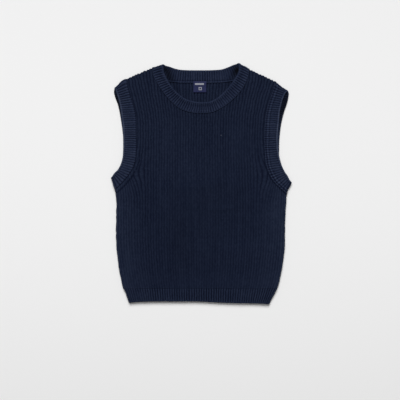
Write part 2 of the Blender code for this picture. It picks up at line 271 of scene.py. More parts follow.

# Painted highlight along the free edges: how much paler they are
RIM_LEFT = table_of(Level, (10, 0.25), (60, 0.45), (100, 0.7), (190, 0.6), (210, 0.4))
RIM_RIGHT = table_of(
    Level,
    (15, 0.3), (30, 0.15), (56, 0.7), (75, 1.1), (120, 1.15), (146, 0.95), (162, 0.6), (200, 0.5),
)
RIM_HEM = table_of(Level, (-255, 0.2), (-251, 0.2))

# Air under the front, and soft creases that show in both layers
SWELLS = table_of(
    Swell,
    (-158, -60, 20, 110, 1.3), (156, -90, 20, 105, 1.5), (-95, 120, 38, 60, 0.9),
    (92, 105, 34, 70, 0.8), (-20, -40, 60, 26, 0.7), (45, -150, 70, 30, 0.9),
    (-90, -185, 45, 26, 0.8),
)
CREASES = table_of(
    Swell,
    (50, -52, 30, 5, 0.55, 3), (52, -62, 34, 6, -0.35, 3), (-118, 52, 26, 7, 0.5, 38),
    (116, 40, 30, 7.5, 0.55, -34), (-60, -120, 46, 9, 0.35, -8), (-96, 205, 8, 24, 0.3, 10),
    (20, 118, 40, 12, 0.3, -4), (120, -190, 30, 8, 0.45, 16),
)
BACK_SHARE = 0.45               # the back rises this much of what the front does
BACK_CREASES = 0.5              # and takes this much of its creases

# Painted light and shade: paler and darker patches
PAINTED_LIGHT_PATCHES = table_of(
    Swell,
    (0, -95, 95, 60, -0.05), (-120, 150, 40, 60, 0.06), (118, 150, 40, 60, 0.06),
    (60, -215, 110, 12, 0.06), (88, -146, 46, 54, 0.095), (-43, -135, 22, 60, -0.095),
    (-68, 75, 16, 45, 0.06), (38, 8, 44, 40, -0.075), (-178, -66, 10, 34, 0.12),
    (-148, 14, 16, 20, 0.1), (140, 12, 12, 16, 0.1), (158, 182, 14, 18, -0.12),
    (0, 232, 46, 14, 0.11), (96, 236, 18, 16, 0.1), (-134, 112, 6, 30, 0.09),
    (-142, 228, 26, 14, 0.13), (150, 90, 12, 110, -0.03), (110, 232, 22, 14, 0.08),
    (36, 203, 36, 14, 0.05), (150, -100, 26, 50, 0.045), (-146, -196, 16, 24, -0.06),
    (140, -208, 26, 12, -0.05), (122, -240, 24, 10, 0.05), (160, 6, 14, 14, 0.06),
    (-155, 90, 14, 120, -0.06), (0, -28, 46, 26, -0.055), (46, -108, 22, 18, -0.045),
    (26, 62, 30, 20, -0.03), (-156, 150, 14, 30, -0.13), (-155, 66, 14, 16, 0.06),
    (152, 165, 12, 28, -0.07), (-158, -78, 16, 45, 0.05),
)

# Where the ribs stand out more
RIBBED = table_of(
    Swell,
    (-138, 16, 24, 24, 0.4), (138, 12, 24, 24, 0.35), (-134, 225, 22, 16, 0.34),
    (130, 220, 24, 16, 0.28), (0, -30, 64, 120, -0.34), (0, 140, 30, 18, 0.15),
    (-72, 96, 20, 38, -0.42), (84, 88, 22, 38, -0.34), (-112, -100, 22, 95, 0.16),
    (-150, -45, 20, 35, 0.12), (-152, -175, 22, 40, -0.28), (133, -60, 18, 25, -0.22),
    (0, -206, 260, 14, -0.25), (10, -240, 58, 12, 0.4), (-132, -240, 30, 12, -0.5),
    (86, -240, 20, 12, -0.3), (-155, 102, 14, 52, -0.15), (151, 102, 14, 66, -0.15),
    (-163, 40, 11, 28, -0.34, -25), (162, 36, 11, 30, -0.36, 25), (-156, 150, 16, 36, -0.3),
    (158, 180, 16, 20, -0.3), (150, 153, 14, 18, -0.4), (150, 88, 12, 16, 0.25),
    (158, -78, 22, 45, -0.4), (-56, 234, 16, 12, -0.2), (52, 234, 20, 12, -0.3),
)

# Painted light along the sides, and painted shade low down
SIDE_PAINTED_LIGHT = 0.46
SIDE_REACH = 44.0
SIDE_FALL = 2.5                 # more than 2 gives the painted light a flatter top and a steeper end
FOLD_PAINTED_LIGHT = 0.3
FOLD_REACH = 7.0
LOW_PAINTED_SHADE = 0.12

# Hollows between the layers, where little light gets in
POCKETS = table_of(
    Swell,
    (-180, 180, 9, 34, -0.8, 12), (178, 166, 11, 46, -0.8, -14), (-73, 244, 11, 10, -0.6),
    (-66, 229, 9, 14, -0.5, 30), (-52, 208, 6, 16, -0.2, 38), (-78.5, 248.5, 4, 6, -0.3),
    (-71.5, 231, 4, 6, -0.25), (74, 243, 8, 14, -0.8, -20), (78.5, 245, 4, 5, -0.4),
    (60, 222, 7, 16, -0.25, -30),
)
DIMMEST = 0.08                  # cloth in the deepest hollow keeps this share of its colour


# -------- lines and fields


def smooth(rows: Sequence[Sequence[float]], step: float) -> Array:
    """A smooth curve through rows of numbers, whose first two columns are places.

    Args:
        rows: The rows that the curve goes through.
        step: About how far apart its points are.

    Returns:
        The curve's points, with every column smoothed.
    """
    points = np.array(rows, float)
    spans = np.hypot(*np.diff(points[:, :2], axis=0).T)
    slopes = np.diff(points, axis=0) / spans[:, None]
    before, after = spans[:-1, None], spans[1:, None]
    inner = (slopes[:-1] * after + slopes[1:] * before) / (before + after)
    tangents = np.vstack([slopes[:1], inner, slopes[-1:]])
    curve = []
    for i, span in enumerate(spans):
        count = max(1, round(span / step))
        s = np.arange(count)[:, None] / count
        curve.append(
            (1 + 2 * s) * (1 - s) ** 2 * points[i]
            + span * s * (1 - s) ** 2 * tangents[i]
            + s * s * (3 - 2 * s) * points[i + 1]
            + span * s * s * (s - 1) * tangents[i + 1]
        )
    return np.vstack(curve + [points[-1:]])


def unit(vectors: Array) -> Array:
    """The directions of vectors, whose numbers are along the last axis."""
    return vectors / np.linalg.norm(vectors, axis=-1, keepdims=True)


def inward_normal(start: Array, end: Array, inside: Array) -> Array:
    """The direction square to a line, towards the side where a place lies.

    Args:
        start: Where the line starts.
        end: Where it ends.
        inside: A place on one side of it.

    Returns:
        The direction, one long.
    """
    along = unit(end - start)
    normal = np.array((-along[1], along[0]))
    return normal if normal @ (inside - start) > 0 else -normal


def fold_inset(turn: Array | float) -> Array | float:
    """How far inside the outermost line the middle of the wall runs, at a turn of a fold."""
    return PANEL_WALL / 2 + FOLD_RADIUS * (1 - np.sin(turn))


def length_along(line: Array) -> Array:
    """The distance of each point of a line from its start."""
    return np.concatenate([[0.0], np.cumsum(np.linalg.norm(np.diff(line, axis=0), axis=1))])


def at_marks(table: Array, values: Array, marks: Array) -> Array:
    """A table's rows where a value along it reaches the marks.

    Args:
        table: The rows.
        values: A number for each row, which rises or falls all along.
        marks: The numbers to be reached.

    Returns:
        A row for each mark.
    """
    if values[0] > values[-1]:
        table, values = table[::-1], values[::-1]
    return np.column_stack([np.interp(marks, values, column) for column in table.T])


def spaced(table: Array, step: float) -> Array:
    """A table's rows again, the same distance apart in its first two columns, ends included."""
    along = length_along(table[:, :2])
    return at_marks(table, along, np.linspace(0.0, along[-1], max(2, round(along[-1] / step) + 1)))


def distance_to(points: Array, line: Array) -> Array:
    """The distance of each point from an open line.

    Args:
        points: The points.
        line: The line's points, in order.

    Returns:
        A distance for each point.
    """
    nearest = np.full(len(points), np.inf)
    for a, b in zip(line[:-1], line[1:]):
        side = b - a
        share = np.clip((points - a) @ side / max(side @ side, 1e-12), 0.0, 1.0)
        gap = points - a - share[:, None] * side
        nearest = np.minimum(nearest, np.einsum("ij,ij->i", gap, gap))
    return np.sqrt(nearest)


def inside(points: Array, loop: Array) -> Array:
    """Whether each point is inside a closed outline.

    Args:
        points: The points.
        loop: The outline's points, in order.

    Returns:
        True or False for each point.
    """
    x, y = points.T
    found = np.zeros(len(points), bool)
    for a, b in zip(loop, np.roll(loop, -1, axis=0)):
        if a[1] != b[1]:
            crosses = (a[1] > y) != (b[1] > y)
            found ^= crosses & (x < a[0] + (b[0] - a[0]) * (y - a[1]) / (b[1] - a[1]))
    return found


def ramp(values: Array, low: float, high: float) -> Array:
    """0 below low, 1 above high, and a smooth rise between them."""
    s = np.clip((values - low) / (high - low), 0.0, 1.0)
    return s * s * (3 - 2 * s)


def falling(y: Array, top: float, full: float) -> Array:
    """0 above the top, 1 below the height where it is full, and a smooth change between them."""
    return ramp(-y, -top, -full)


def bell(values: Array, middle: float, width: float) -> Array:
    """A bell of height 1 round the middle."""
    return np.exp(-(((values - middle) / width) ** 2))


def swelling(points: Array, swells: Sequence[Swell]) -> Array:
    """The sum of the swells over each point.

    Args:
        points: The points.
        swells: The swells.

    Returns:
        A height for each point.
    """
    height = np.zeros(len(points))
    for s in swells:
        angle = math.radians(s.turned)
        x, y = (points - (s.x, s.y)).T
        across = x * math.cos(angle) + y * math.sin(angle)
        along = y * math.cos(angle) - x * math.sin(angle)
        height += s.height * np.exp(-((across / s.half_width) ** 2) - (along / s.half_length) ** 2)
    return height


def beading(away: Array, beads: Sequence[Bead]) -> Array:
    """The height of the ridges and grooves at distances from a seam."""
    return sum((bead.height * bell(away, bead.away, bead.width) for bead in beads), 0.0 * away)


def low_share(y: Array) -> Array:
    """0 in the upper half of the armholes, 1 in their lower curves."""
    return falling(y, 82.0, 62.0)


class WaleFan:
    """How the ribs of the body fan out towards the shoulders and draw in at the hem."""

    def __init__(self, rows: Sequence[FanRow]) -> None:
        """Smooths the fan's rows.

        Args:
            rows: Where the armholes' wales run.
        """
        curve = smooth(rows, FAN_STEP)
        self.y = curve[:, 0]
        self.middle = (curve[:, 1] + curve[:, 2]) / 2
        self.half = (curve[:, 2] - curve[:, 1]) / 2

    def wale(self, points: Array) -> Array:
        """The wale at each point.

        Args:
            points: The points.

        Returns:
            A wale for each point.
        """
        x = points[:, 0] + swelling(points, PULLS)
        y = points[:, 1]
        middle = np.interp(y, self.y, self.middle)
        return ARMHOLE_WALES * (x - middle) / np.interp(y, self.y, self.half)

    def x(self, wale: Array, y: Array) -> Array:
        """Where a wale runs at a height.

        Args:
            wale: The wales.
            y: A height for each wale.

        Returns:
            An x for each wale.
        """
        half = np.interp(y, self.y, self.half)
        pulled = np.interp(y, self.y, self.middle) + half * wale / ARMHOLE_WALES
        x = pulled
        for _ in range(FAN_ROUNDS):
            points = np.column_stack([x.ravel(), np.broadcast_to(y, x.shape).ravel()])
            x = pulled - swelling(points, PULLS).reshape(x.shape)
        return x


FAN = WaleFan(WALE_FAN)


# -------- rungs and spots


@dataclass
class Spots:
    """Places on a layer: where they are, how far round a fold, and where a fold looks."""

    at: Array
    turn: Array
    lean: Array

    @classmethod
    def of(cls, table: Array) -> "Spots":
        """Spots from a table with columns x, y, turn, lean x, lean y."""
        return cls(table[:, :2], table[:, 2], table[:, 3:5])

    @classmethod
    def flat(cls, points: Array) -> "Spots":
        """Spots away from any fold."""
        return cls(points, np.zeros(len(points)), np.zeros((len(points), 2)))

    def pick(self, choice: Any) -> "Spots":
        """Some of the spots, or all in another order."""
        return Spots(self.at[choice], self.turn[choice], self.lean[choice])

    def turned_round(self) -> "Spots":
        """The spots in the opposite order."""
        return self.pick(slice(None, None, -1))

    def table(self) -> Array:
        """The spots as a table with columns x, y, turn, lean x, lean y."""
        return np.column_stack([self.at, self.turn, self.lean])

    @classmethod
    def join(cls, parts: Sequence["Spots"]) -> "Spots":
        """All spots of the parts, in order."""
        return cls.of(np.vstack([part.table() for part in parts]))


def middle_places(spots: Spots, layer: Layer, wall: float, lift: Array | float = 0.0,
                  parting: float = 0.0) -> tuple[Array, Array]:
    """The middle of the wall over spots, and the directions in which its outer face looks.

    Args:
        spots: Where the wall runs.
        layer: The front or the back layer.
        wall: How thick the wall is.
        lift: How much the layer is raised off its place, towards the front.
        parting: Half the gap of the seam on the fold, less than 0 where the layers lap.

    Returns:
        Places and directions, each with three columns.
    """
    side = layer.value
    cosine, sine = np.cos(spots.turn), np.sin(spots.turn)
    z = wall / 2 + FOLD_RADIUS + side * (parting * sine + FOLD_RADIUS * cosine) + lift * cosine
    out = np.column_stack([spots.lean * sine[:, None], side * cosine])
    return np.column_stack([spots.at, z]), unit(out)


def band_rungs(rows: Sequence[BandRow], layer: Layer) -> Array:
    """Rungs across one layer of a band, from fold to fold.

    Args:
        rows: The band's table.
        layer: The front or the back layer.

    Returns:
        A table with columns seam x, seam y, edge x, edge y, turn, lean x, lean y.
    """
    side = 1 if rows[0].seam_x < rows[0].edge_x else -1
    moved = np.array([row[:4] for row in rows], float)
    if layer is Layer.BACK:
        moved[:, (0, 2)] += side * np.array([[row.back_shift] for row in rows])
    curve = smooth(moved, DENSE_STEP)[1:-1]
    ends = []
    for first, second in ((moved[0], moved[1]), (moved[-1], moved[-2])):
        normal = inward_normal(first[:2], first[2:], second[:2])
        ways = unit((second - first).reshape(2, 2))
        shift = (ways / (ways @ normal)[:, None]).ravel() * fold_inset(FOLD_TURNS)[:, None]
        lean = np.tile(-normal, (len(FOLD_TURNS), 1))
        ends.append(np.column_stack([first + shift, FOLD_TURNS, lean]))
        for k in (0, 2):
            curve = curve[(curve[:, k:k + 2] - first[k:k + 2]) @ normal > FOLD_CLEAR]
    middle = np.column_stack([curve, np.zeros((len(curve), 3))])
    return np.vstack([ends[0], middle, ends[1][::-1]])


def rib_marks(wales: Array, columns: int) -> Array:
    """The wales between the first and the last that are marked, so many to a rib."""
    return np.arange(math.ceil(wales[0] * columns + 0.5), wales[-1] * columns - 0.5) / columns


def seam_spots(rows: Sequence[BandRow], layer: Layer) -> Spots:
    """A panel's dense edge along a band, where it goes into the seam.

    Args:
        rows: The band's table.
        layer: The front or the back layer.

    Returns:
        The edge, from fold to fold.
    """
    rungs = band_rungs(rows, layer)
    across = unit(rungs[:, 2:4] - rungs[:, :2])
    return Spots(rungs[:, :2] + across * SEAM_LAP, rungs[:, 4], rungs[:, 5:])


# -------- node trees


class Value:
    """A socket in an expression. Python's operators on it add Math nodes to its tree."""

    def __init__(self, tree: "Tree", socket: bpy.types.NodeSocket) -> None:
        """Wraps an output socket."""
        self.tree = tree
        self.socket = socket

    def output(self, name: str | int) -> "Value":
        """Another output of the same node."""
        return Value(self.tree, Tree.find(self.socket.node.outputs, name))

    def math(self, operation: str, *others: Any) -> "Value":
        """The value of a Math node with this as its first input."""
        return self.tree.math(operation, self, *others)

    def __add__(self, other: Any) -> "Value":
        """Adds."""
        return self.math("ADD", other)

    __radd__ = __add__

    def __sub__(self, other: Any) -> "Value":
        """Subtracts."""
        return self.math("SUBTRACT", other)

    def __rsub__(self, other: Any) -> "Value":
        """Subtracts this from a number."""
        return self.tree.math("SUBTRACT", other, self)

    def __mul__(self, other: Any) -> "Value":
        """Multiplies."""
        return self.math("MULTIPLY", other)

    __rmul__ = __mul__

    def __pow__(self, other: Any) -> "Value":
        """Raises to a power."""
        return self.math("POWER", other)

    def __abs__(self) -> "Value":
        """The size without its sign."""
        return self.math("ABSOLUTE")


class Tree:
    """A node tree that is being built."""

    def __init__(self, nodes: bpy.types.NodeTree) -> None:
        """Takes an empty tree."""
        self.nodes = nodes

    @staticmethod
    def find(sockets: Any, key: str | int) -> bpy.types.NodeSocket:
        """A socket by its number, its identifier or its name.

        Args:
            sockets: A node's inputs or outputs.
            key: The number, identifier or name.

        Returns:
            The socket.
        """
        if isinstance(key, int):
            return sockets[key]
        for socket in sockets:
            if key == socket.identifier:
                return socket
        return next(s for s in sockets if s.name == key and s.enabled)

    def add(self, kind: str, settings: dict[str, Any] | None = None,
            sockets: dict[str | int, Any] | None = None, output: str | int = 0) -> Value:
        """Adds any node.

        Args:
            kind: The node's type.
            settings: Its settings, which are set first.
            sockets: Values or links of its inputs.
            output: The output to return.

        Returns:
            That output.
        """
        node = self.nodes.nodes.new(kind)
        for key, value in (settings or {}).items():
            setattr(node, key, value)
        for key, value in (sockets or {}).items():
            self.set(self.find(node.inputs, key), value)
        return Value(self, self.find(node.outputs, output)) if node.outputs else Value(self, None)

    def set(self, socket: bpy.types.NodeSocket, value: Any) -> None:
        """Links a value to an input, or sets the input to a number or colour.

        Args:
            socket: The input.
            value: A Value to link, or a number or colour.
        """
        if isinstance(value, Value):
            self.nodes.links.new(value.socket, socket)
        else:
            socket.default_value = value

    def math(self, operation: str, *values: Any) -> Value:
        """A Math node on values and numbers."""
        return self.add("ShaderNodeMath", {"operation": operation}, dict(enumerate(values)))

    def vector(self, operation: str, *values: Any) -> Value:
        """A Vector Math node on vectors."""
        return self.add("ShaderNodeVectorMath", {"operation": operation}, dict(enumerate(values)))

    def scaled(self, vector: Value, factor: Any) -> Value:
        """A vector times a number."""
        return self.add("ShaderNodeVectorMath", {"operation": "SCALE"}, {0: vector, "Scale": factor})

    def combine(self, x: Any, y: Any, z: Any = 0.0) -> Value:
        """A vector from three numbers."""
        return self.add("ShaderNodeCombineXYZ", None, {0: x, 1: y, 2: z})

    def mix(self, share: Any, first: Any, second: Any) -> Value:
        """A colour between two colours."""
        sockets = {"Factor_Float": share, "A_Color": first, "B_Color": second}
        return self.add("ShaderNodeMix", {"data_type": "RGBA"}, sockets, "Result_Color")

    def noise(self, scale: float, detail: float, place: Value | None = None, output: str = "Fac"
              ) -> Value:
        """A Noise node.

        Args:
            scale: Cells to a metre.
            detail: How many finer layers are added.
            place: Where it is read, or None for the shape's own places.
            output: Fac or Color.

        Returns:
            That output.
        """
        sockets = {"Scale": scale, "Detail": detail}
        if place is not None:
            sockets["Vector"] = place
        return self.add("ShaderNodeTexNoise", None, sockets, output)

    def wave(self, phase: Value) -> Value:
        """0 where the phase is whole, 1 halfway between."""
        return 0.5 - 0.5 * (phase * math.tau).math("COSINE")


@dataclass(frozen=True)
class Gauge:
    """One kind of ribbing, in millimetres where it is a length."""

    course: float
    rib_depth: float
    groove: float
    stitch_depth: float
    unevenness: float
    wander: float
    pressing: float             # how much flatter the ribs lie in places
    lean: float = 1.5           # courses by which a stitch rises from its middle to the valley


class StitchPlan:
    """The stitch under a point, worked out the same way for relief and for colour."""

    def __init__(self, tree: Tree, wale: Value, course: Value, lean: Any) -> None:
        """Adds the nodes that find the stitch.

        Args:
            tree: The tree.
            wale: The wale at each point.
            course: The course at each point.
            lean: The gauge's lean.
        """
        self.rib = wale.math("ROUND")
        across = wale - self.rib
        self.off = abs(across)
        self.crown = 1.0 - tree.wave(across)
        self.row = course - self.off * lean
        self.swell = tree.wave(self.row)
        key = tree.combine(self.rib, self.row.math("FLOOR"), across.math("SIGN"))
        self.chance = tree.add("ShaderNodeTexWhiteNoise", {"noise_dimensions": "3D"}, {0: key})


def empty_tree(name: str, inputs: Sequence[tuple[str, str]]) -> tuple[Tree, Value]:
    """A Geometry Nodes tree with a geometry in and out.

    Args:
        name: The tree's name.
        inputs: Names and socket types of its other inputs.

    Returns:
        The tree, and its first input.
    """
    nodes = bpy.data.node_groups.new(name, "GeometryNodeTree")
    nodes.interface.new_socket("Geometry", in_out="INPUT", socket_type="NodeSocketGeometry")
    for label, kind in inputs:
        nodes.interface.new_socket(label, in_out="INPUT", socket_type=kind)
    nodes.interface.new_socket("Geometry", in_out="OUTPUT", socket_type="NodeSocketGeometry")
    tree = Tree(nodes)
    return tree, tree.add("NodeGroupInput")


def named(tree: Tree, name: str, kind: str = "FLOAT") -> Value:
    """An attribute of the shape in a Geometry Nodes tree."""
    return tree.add("GeometryNodeInputNamedAttribute", {"data_type": kind}, {"Name": name}, "Attribute")


def with_relief(tree: Tree, shape: Value, relief: Value) -> Value:
    """The shape with its relief kept for the finish's painted shade and light."""
    return tree.add("GeometryNodeStoreNamedAttribute", {"data_type": "FLOAT", "domain": "POINT"},
                    {0: shape, "Name": RELIEF, "Value": relief})


def finish_tree(tree: Tree, shape: Value, material: Value) -> None:
    """Ends a Geometry Nodes tree: instances made real, then the material.

    Args:
        tree: The tree.
        shape: What it has made.
        material: The material.
    """
    real = tree.add("GeometryNodeRealizeInstances", None, {0: shape})
    dressed = tree.add("GeometryNodeSetMaterial", None, {0: real, "Material": material})
    tree.add("NodeGroupOutput", None, {0: dressed})


def run_tree(obj: bpy.types.Object, nodes: bpy.types.NodeTree, inputs: dict[str, Any]) -> None:
    """Runs a Geometry Nodes tree on an object and keeps the result as its plain mesh.

    Args:
        obj: The object, whose mesh is replaced.
        nodes: The tree.
        inputs: Values for the tree's inputs, by name.
    """
    modifier = obj.modifiers.new("shape", "NODES")
    modifier.node_group = nodes
    for item in nodes.interface.items_tree:
        if item.in_out == "INPUT" and item.name in inputs:
            modifier[item.identifier] = inputs[item.name]
    graph = bpy.context.evaluated_depsgraph_get()
    evaluated = obj.evaluated_get(graph)
    mesh = bpy.data.meshes.new_from_object(evaluated, preserve_all_data_layers=True, depsgraph=graph)
    old = obj.data
    obj.modifiers.remove(modifier)
    obj.data = mesh
    mesh.name = obj.name
    bpy.data.meshes.remove(old)


@dataclass(frozen=True)
class Relief:
    """How ribs and stitches rise on cloth, whatever its gauge."""

    press_scale: float = 34.0   # patches to a metre, in which the ribs lie flatter or less flat
    most_ease: float = 1.2
    roundness: float = 0.75     # less than 1 gives a rib a broader back
    groove_fall: float = 70.0   # how steeply the groove along the middle of a rib closes
    drift_scale: float = 60.0
    fine_drift_scale: float = 190.0
    fine_drift: float = 0.5
    stitch_light: float = 0.3   # how much more light a stitch's top takes than its ends
    # painted shade in the groove along a rib's middle
    groove_dark: float = 0.3
    roll_light: float = 900.0   # for each metre that a bead is raised
    least: tuple[float, float, float] = (-10.0, -10.0, LOWEST * MM)     # no point lies below these

    def tree(self) -> bpy.types.NodeTree:
        """Builds the tree that raises ribs and stitches on a piece of cloth.

        Returns:
            The tree.
        """
        numbers = ("Rib Depth", "Groove", "Stitch Depth", "Unevenness", "Wander", "Lean", "Pressing")
        inputs = [(name, "NodeSocketFloat") for name in numbers]
        tree, given = empty_tree("rib_relief", inputs + [("Material", "NodeSocketMaterial")])
        plan = StitchPlan(tree, named(tree, "wale"), named(tree, "course"), given.output("Lean"))
        pressing = 1.0 - tree.noise(self.press_scale, 1.0) * 2.0
        ease = named(tree, "ease") * (1.0 - given.output("Pressing") * pressing)
        ease = ease.math("MINIMUM", self.most_ease)
        broad = plan.crown ** self.roundness
        groove = (plan.off * plan.off * -self.groove_fall).math("EXPONENT")
        sink = (
            given.output("Rib Depth") * (1.0 - broad)
            + given.output("Groove") * groove
            + given.output("Stitch Depth") * (1.0 - plan.swell) * plan.crown
        )
        uneven = given.output("Unevenness") * (plan.chance - 0.5) * plan.crown * plan.swell
        roll = named(tree, "roll")
        offset = tree.scaled(named(tree, "out", "FLOAT_VECTOR"), ease * (uneven - sink) + roll)
        drift = self.drift(tree, given.output("Wander") * named(tree, "ease"))
        raised = tree.vector("ADD", tree.add("GeometryNodeInputPosition"),
                             tree.vector("ADD", offset, drift))
        raised = tree.vector("MAXIMUM", raised, self.least)
        moved = tree.add("GeometryNodeSetPosition", None, {0: given, "Position": raised})
        # Painted light and shade, kept as the relief: stitch tops and raised beads paler, valleys and
        # grooves darker
        light = broad * (1.0 - self.stitch_light + self.stitch_light * plan.swell)
        light = PLAIN + (light - self.groove_dark * groove - PLAIN) * ease
        light = (light + roll * self.roll_light).math("MAXIMUM", 0.0)
        finish_tree(tree, with_relief(tree, moved, light), given.output("Material"))
        return tree.nodes

    def drift(self, tree: Tree, amount: Value) -> Value:
        """How far the stitches stray sideways from their even places.

        Args:
            tree: The tree.
            amount: How far they may stray.

        Returns:
            The way and distance at each point.
        """
        broad = tree.noise(self.drift_scale, 1.0, None, "Color")
        fine = tree.noise(self.fine_drift_scale, 1.0, None, "Color")
        both = tree.vector("ADD", broad, tree.scaled(fine, self.fine_drift))
        mean = 0.5 + 0.5 * self.fine_drift
        both = tree.vector("SUBTRACT", both, (mean, mean, mean))
        return tree.scaled(tree.vector("MULTIPLY", both, (1.0, 1.0, 0.0)), amount)


def chain_tree() -> bpy.types.NodeTree:
    """Builds the tree that lays linking stitches end to end along a line.

    Returns:
        The tree.
    """
    numbers = [(name, "NodeSocketFloat") for name in ("Pitch", "Length", "Width", "Height", "Tone")]
    tree, given = empty_tree("linking_chain", numbers + [("Material", "NodeSocketMaterial")])
    line = tree.add("GeometryNodeMeshToCurve", None, {0: given})
    even = tree.add("GeometryNodeResampleCurve", {"mode": "LENGTH"},
                    {"Curve": line, "Length": given.output("Pitch")})
    way = tree.add("GeometryNodeInputTangent")
    turned = tree.add("FunctionNodeAxesToRotation", {"primary_axis": "Z", "secondary_axis": "X"},
                      {"Primary Axis": named(tree, "out", "FLOAT_VECTOR"), "Secondary Axis": way})
    bead = tree.add("GeometryNodeMeshUVSphere", None, {"Segments": 8, "Rings": 5, "Radius": 0.5})
    size = tree.combine(given.output("Length"), given.output("Width"), given.output("Height"))
    links = tree.add("GeometryNodeInstanceOnPoints", None,
                     {"Points": even, "Instance": bead, "Rotation": turned, "Scale": size})
    solid = tree.add("GeometryNodeRealizeInstances", None, {0: links})
    # One level of painted light and shade for every linking stitch
    toned = with_relief(tree, solid, given.output("Tone"))
    smoothed = tree.add("GeometryNodeSetShadeSmooth", None, {0: toned})
    finish_tree(tree, smoothed, given.output("Material"))
    return tree.nodes


# -------- finishes


def empty_material(name: str) -> tuple[bpy.types.Material, Tree]:
    """Starts a material.

    Args:
        name: Its name.

    Returns:
        The material and its empty tree.
    """
    material = bpy.data.materials.new(name)
    material.use_nodes = True
    material.node_tree.nodes.clear()
    return material, Tree(material.node_tree)


def finish_material(tree: Tree, sockets: dict[str | int, Any]) -> None:
    """Ends a material's tree with its shader."""
    shader = tree.add("ShaderNodeBsdfPrincipled", None, sockets)
    tree.add("ShaderNodeOutputMaterial", None, {0: shader})


@dataclass(frozen=True)
class Fleck:
    """A speck of pale lint that is caught in the yarn."""

    place: tuple[float, float, float]
    colour: tuple[float, float, float] = (0.088, 0.098, 0.132)
    squeeze: tuple[float, float, float] = (0.5, 1.0, 0.3)   # less than 1 where the speck is longer
    fall: float = 1100.0        # how fast it thins out, for each metre off its middle
    raggedness: float = 0.7
    hardness: float = 3.0       # how sharp its edge is

    def over(self, tree: Tree, place: Value, fluff: Value, colour: Value) -> Value:
        """Lays the speck over the yarn.

        Args:
            tree: The material's tree.
            place: Where each point is.
            fluff: The noise of the yarn's fluff.
            colour: The yarn's colour.

        Returns:
            The colour with the speck.
        """
        middle = tuple(value * MM * share for value, share in zip(self.place, self.squeeze))
        squeezed = tree.vector("MULTIPLY", place, self.squeeze)
        away = tree.vector("DISTANCE", squeezed, middle).output("Value")
        lint = (1.0 - away * self.fall + self.raggedness * (fluff - 0.5)).math("MAXIMUM", 0.0)
        return tree.mix((lint * self.hardness).math("MINIMUM", 1.0), colour, (*self.colour, 1.0))


@dataclass(frozen=True)
class KnitFinish:
    """Matte cotton yarn, knitted."""

    name: str
    deep: tuple[float, float, float]    # painted shade and light: its colour in the valleys, and on top of the stitches
    lit: tuple[float, float, float]
    gauge: Gauge
    stitch_tone: float = 0.4    # how much stitches, clouds, whole ribs and fluff differ
    cloud_tone: float = 0.16
    streak_tone: float = 0.42
    fluff_tone: float = 0.25
    cloud_scale: float = 26.0
    fluff_scale: float = 1500.0
    streak_step: float = 0.73   # noise cells from rib to rib, and from course to course
    streak_length: float = 0.03
    palest_tint: float = -0.1   # painted shade darker than this isn't tinted any more
    darkest: float = 0.02
    plies: float = 9.0          # turns of the yarn across a rib, and in a course
    ply_lean: float = 1.5
    ply_height: float = 0.6
    fluff_height: float = 0.7
    bump: float = 0.25
    bump_depth: float = 0.0004
    roughness: float = 0.9
    roughness_change: float = 0.1
    specular: float = 0.08
    sheen: float = 0.05
    sheen_roughness: float = 0.4
    sheen_tint: tuple[float, float, float, float] = (0.45, 0.6, 1.0, 1.0)
    fleck: Fleck | None = None

    def material(self) -> bpy.types.Material:
        """Builds the finish's material.

        Returns:
            The material.
        """
        material, tree = empty_material(self.name)
        cell = tree.add("ShaderNodeSeparateXYZ", None,
                        {0: tree.add("ShaderNodeUVMap", {"uv_map": KNIT_MAP})})
        plan = StitchPlan(tree, cell.output("X"), cell.output("Y"), self.gauge.lean)
        place = tree.add("ShaderNodeTexCoord", None, None, "Object")
        fluff = tree.noise(self.fluff_scale, 2.0, place)
        colour = self.colour(tree, plan, place, fluff)
        if self.fleck:
            colour = self.fleck.over(tree, place, fluff, colour)
        ply = tree.wave(plan.off * self.plies + plan.row * self.ply_lean)
        height = ply * self.ply_height + fluff * self.fluff_height
        finish_material(tree, {
            "Base Color": colour,
            "Roughness": self.roughness + self.roughness_change * (fluff - 0.5),
            "Normal": tree.add("ShaderNodeBump", None, {
                "Height": height, "Strength": self.bump, "Distance": self.bump_depth,
            }),
            "Specular IOR Level": self.specular,
            "Sheen Weight": self.sheen,
            "Sheen Roughness": self.sheen_roughness,
            "Sheen Tint": self.sheen_tint,
        })
        return material

    def colour(self, tree: Tree, plan: StitchPlan, place: Value, fluff: Value) -> Value:
        """The yarn's colour: by its relief and its painted light and shade, and by what stitches and
        ribs differ.

        Args:
            tree: The material's tree.
            plan: The stitch under each point.
            place: Where each point is.
            fluff: The noise of the yarn's fluff.

        Returns:
            The colour.
        """
        cloud = tree.noise(self.cloud_scale, 4.0, place)
        run = tree.combine(plan.rib * self.streak_step, plan.row * self.streak_length)
        streak = tree.add("ShaderNodeTexNoise", {"noise_dimensions": "2D"},
                          {"Vector": run, "Scale": 1.0, "Detail": 1.0})
        uneven = (
            self.stitch_tone * (plan.chance - 0.5) + self.cloud_tone * (cloud - 0.5)
            + self.streak_tone * (streak - 0.5) + self.fluff_tone * (fluff - 0.5)
        )
        relief = tree.add("ShaderNodeAttribute", {"attribute_name": RELIEF}, None, "Fac")
        paling = tree.add("ShaderNodeAttribute", {"attribute_name": PAINTED_LIGHT}, None, "Fac")
        # Painted shade in the valleys and painted light on the stitches' tops; a relief over 1 paints
        # raised beads paler still
        yarn = tree.mix(relief, (*self.deep, 1.0), (*self.lit, 1.0))
        crest = relief.math("MAXIMUM", 1.0)
        tinted = paling.math("MAXIMUM", self.palest_tint)
        shares = []
        for part in PAINTED_LIGHT_TINT:
            share = (1.0 + paling + tinted * part).math("MAXIMUM", self.darkest)
            shares.append(share * crest * (1.0 + uneven * (1.0 + part)))
        return tree.vector("MULTIPLY", yarn, tree.combine(*shares))


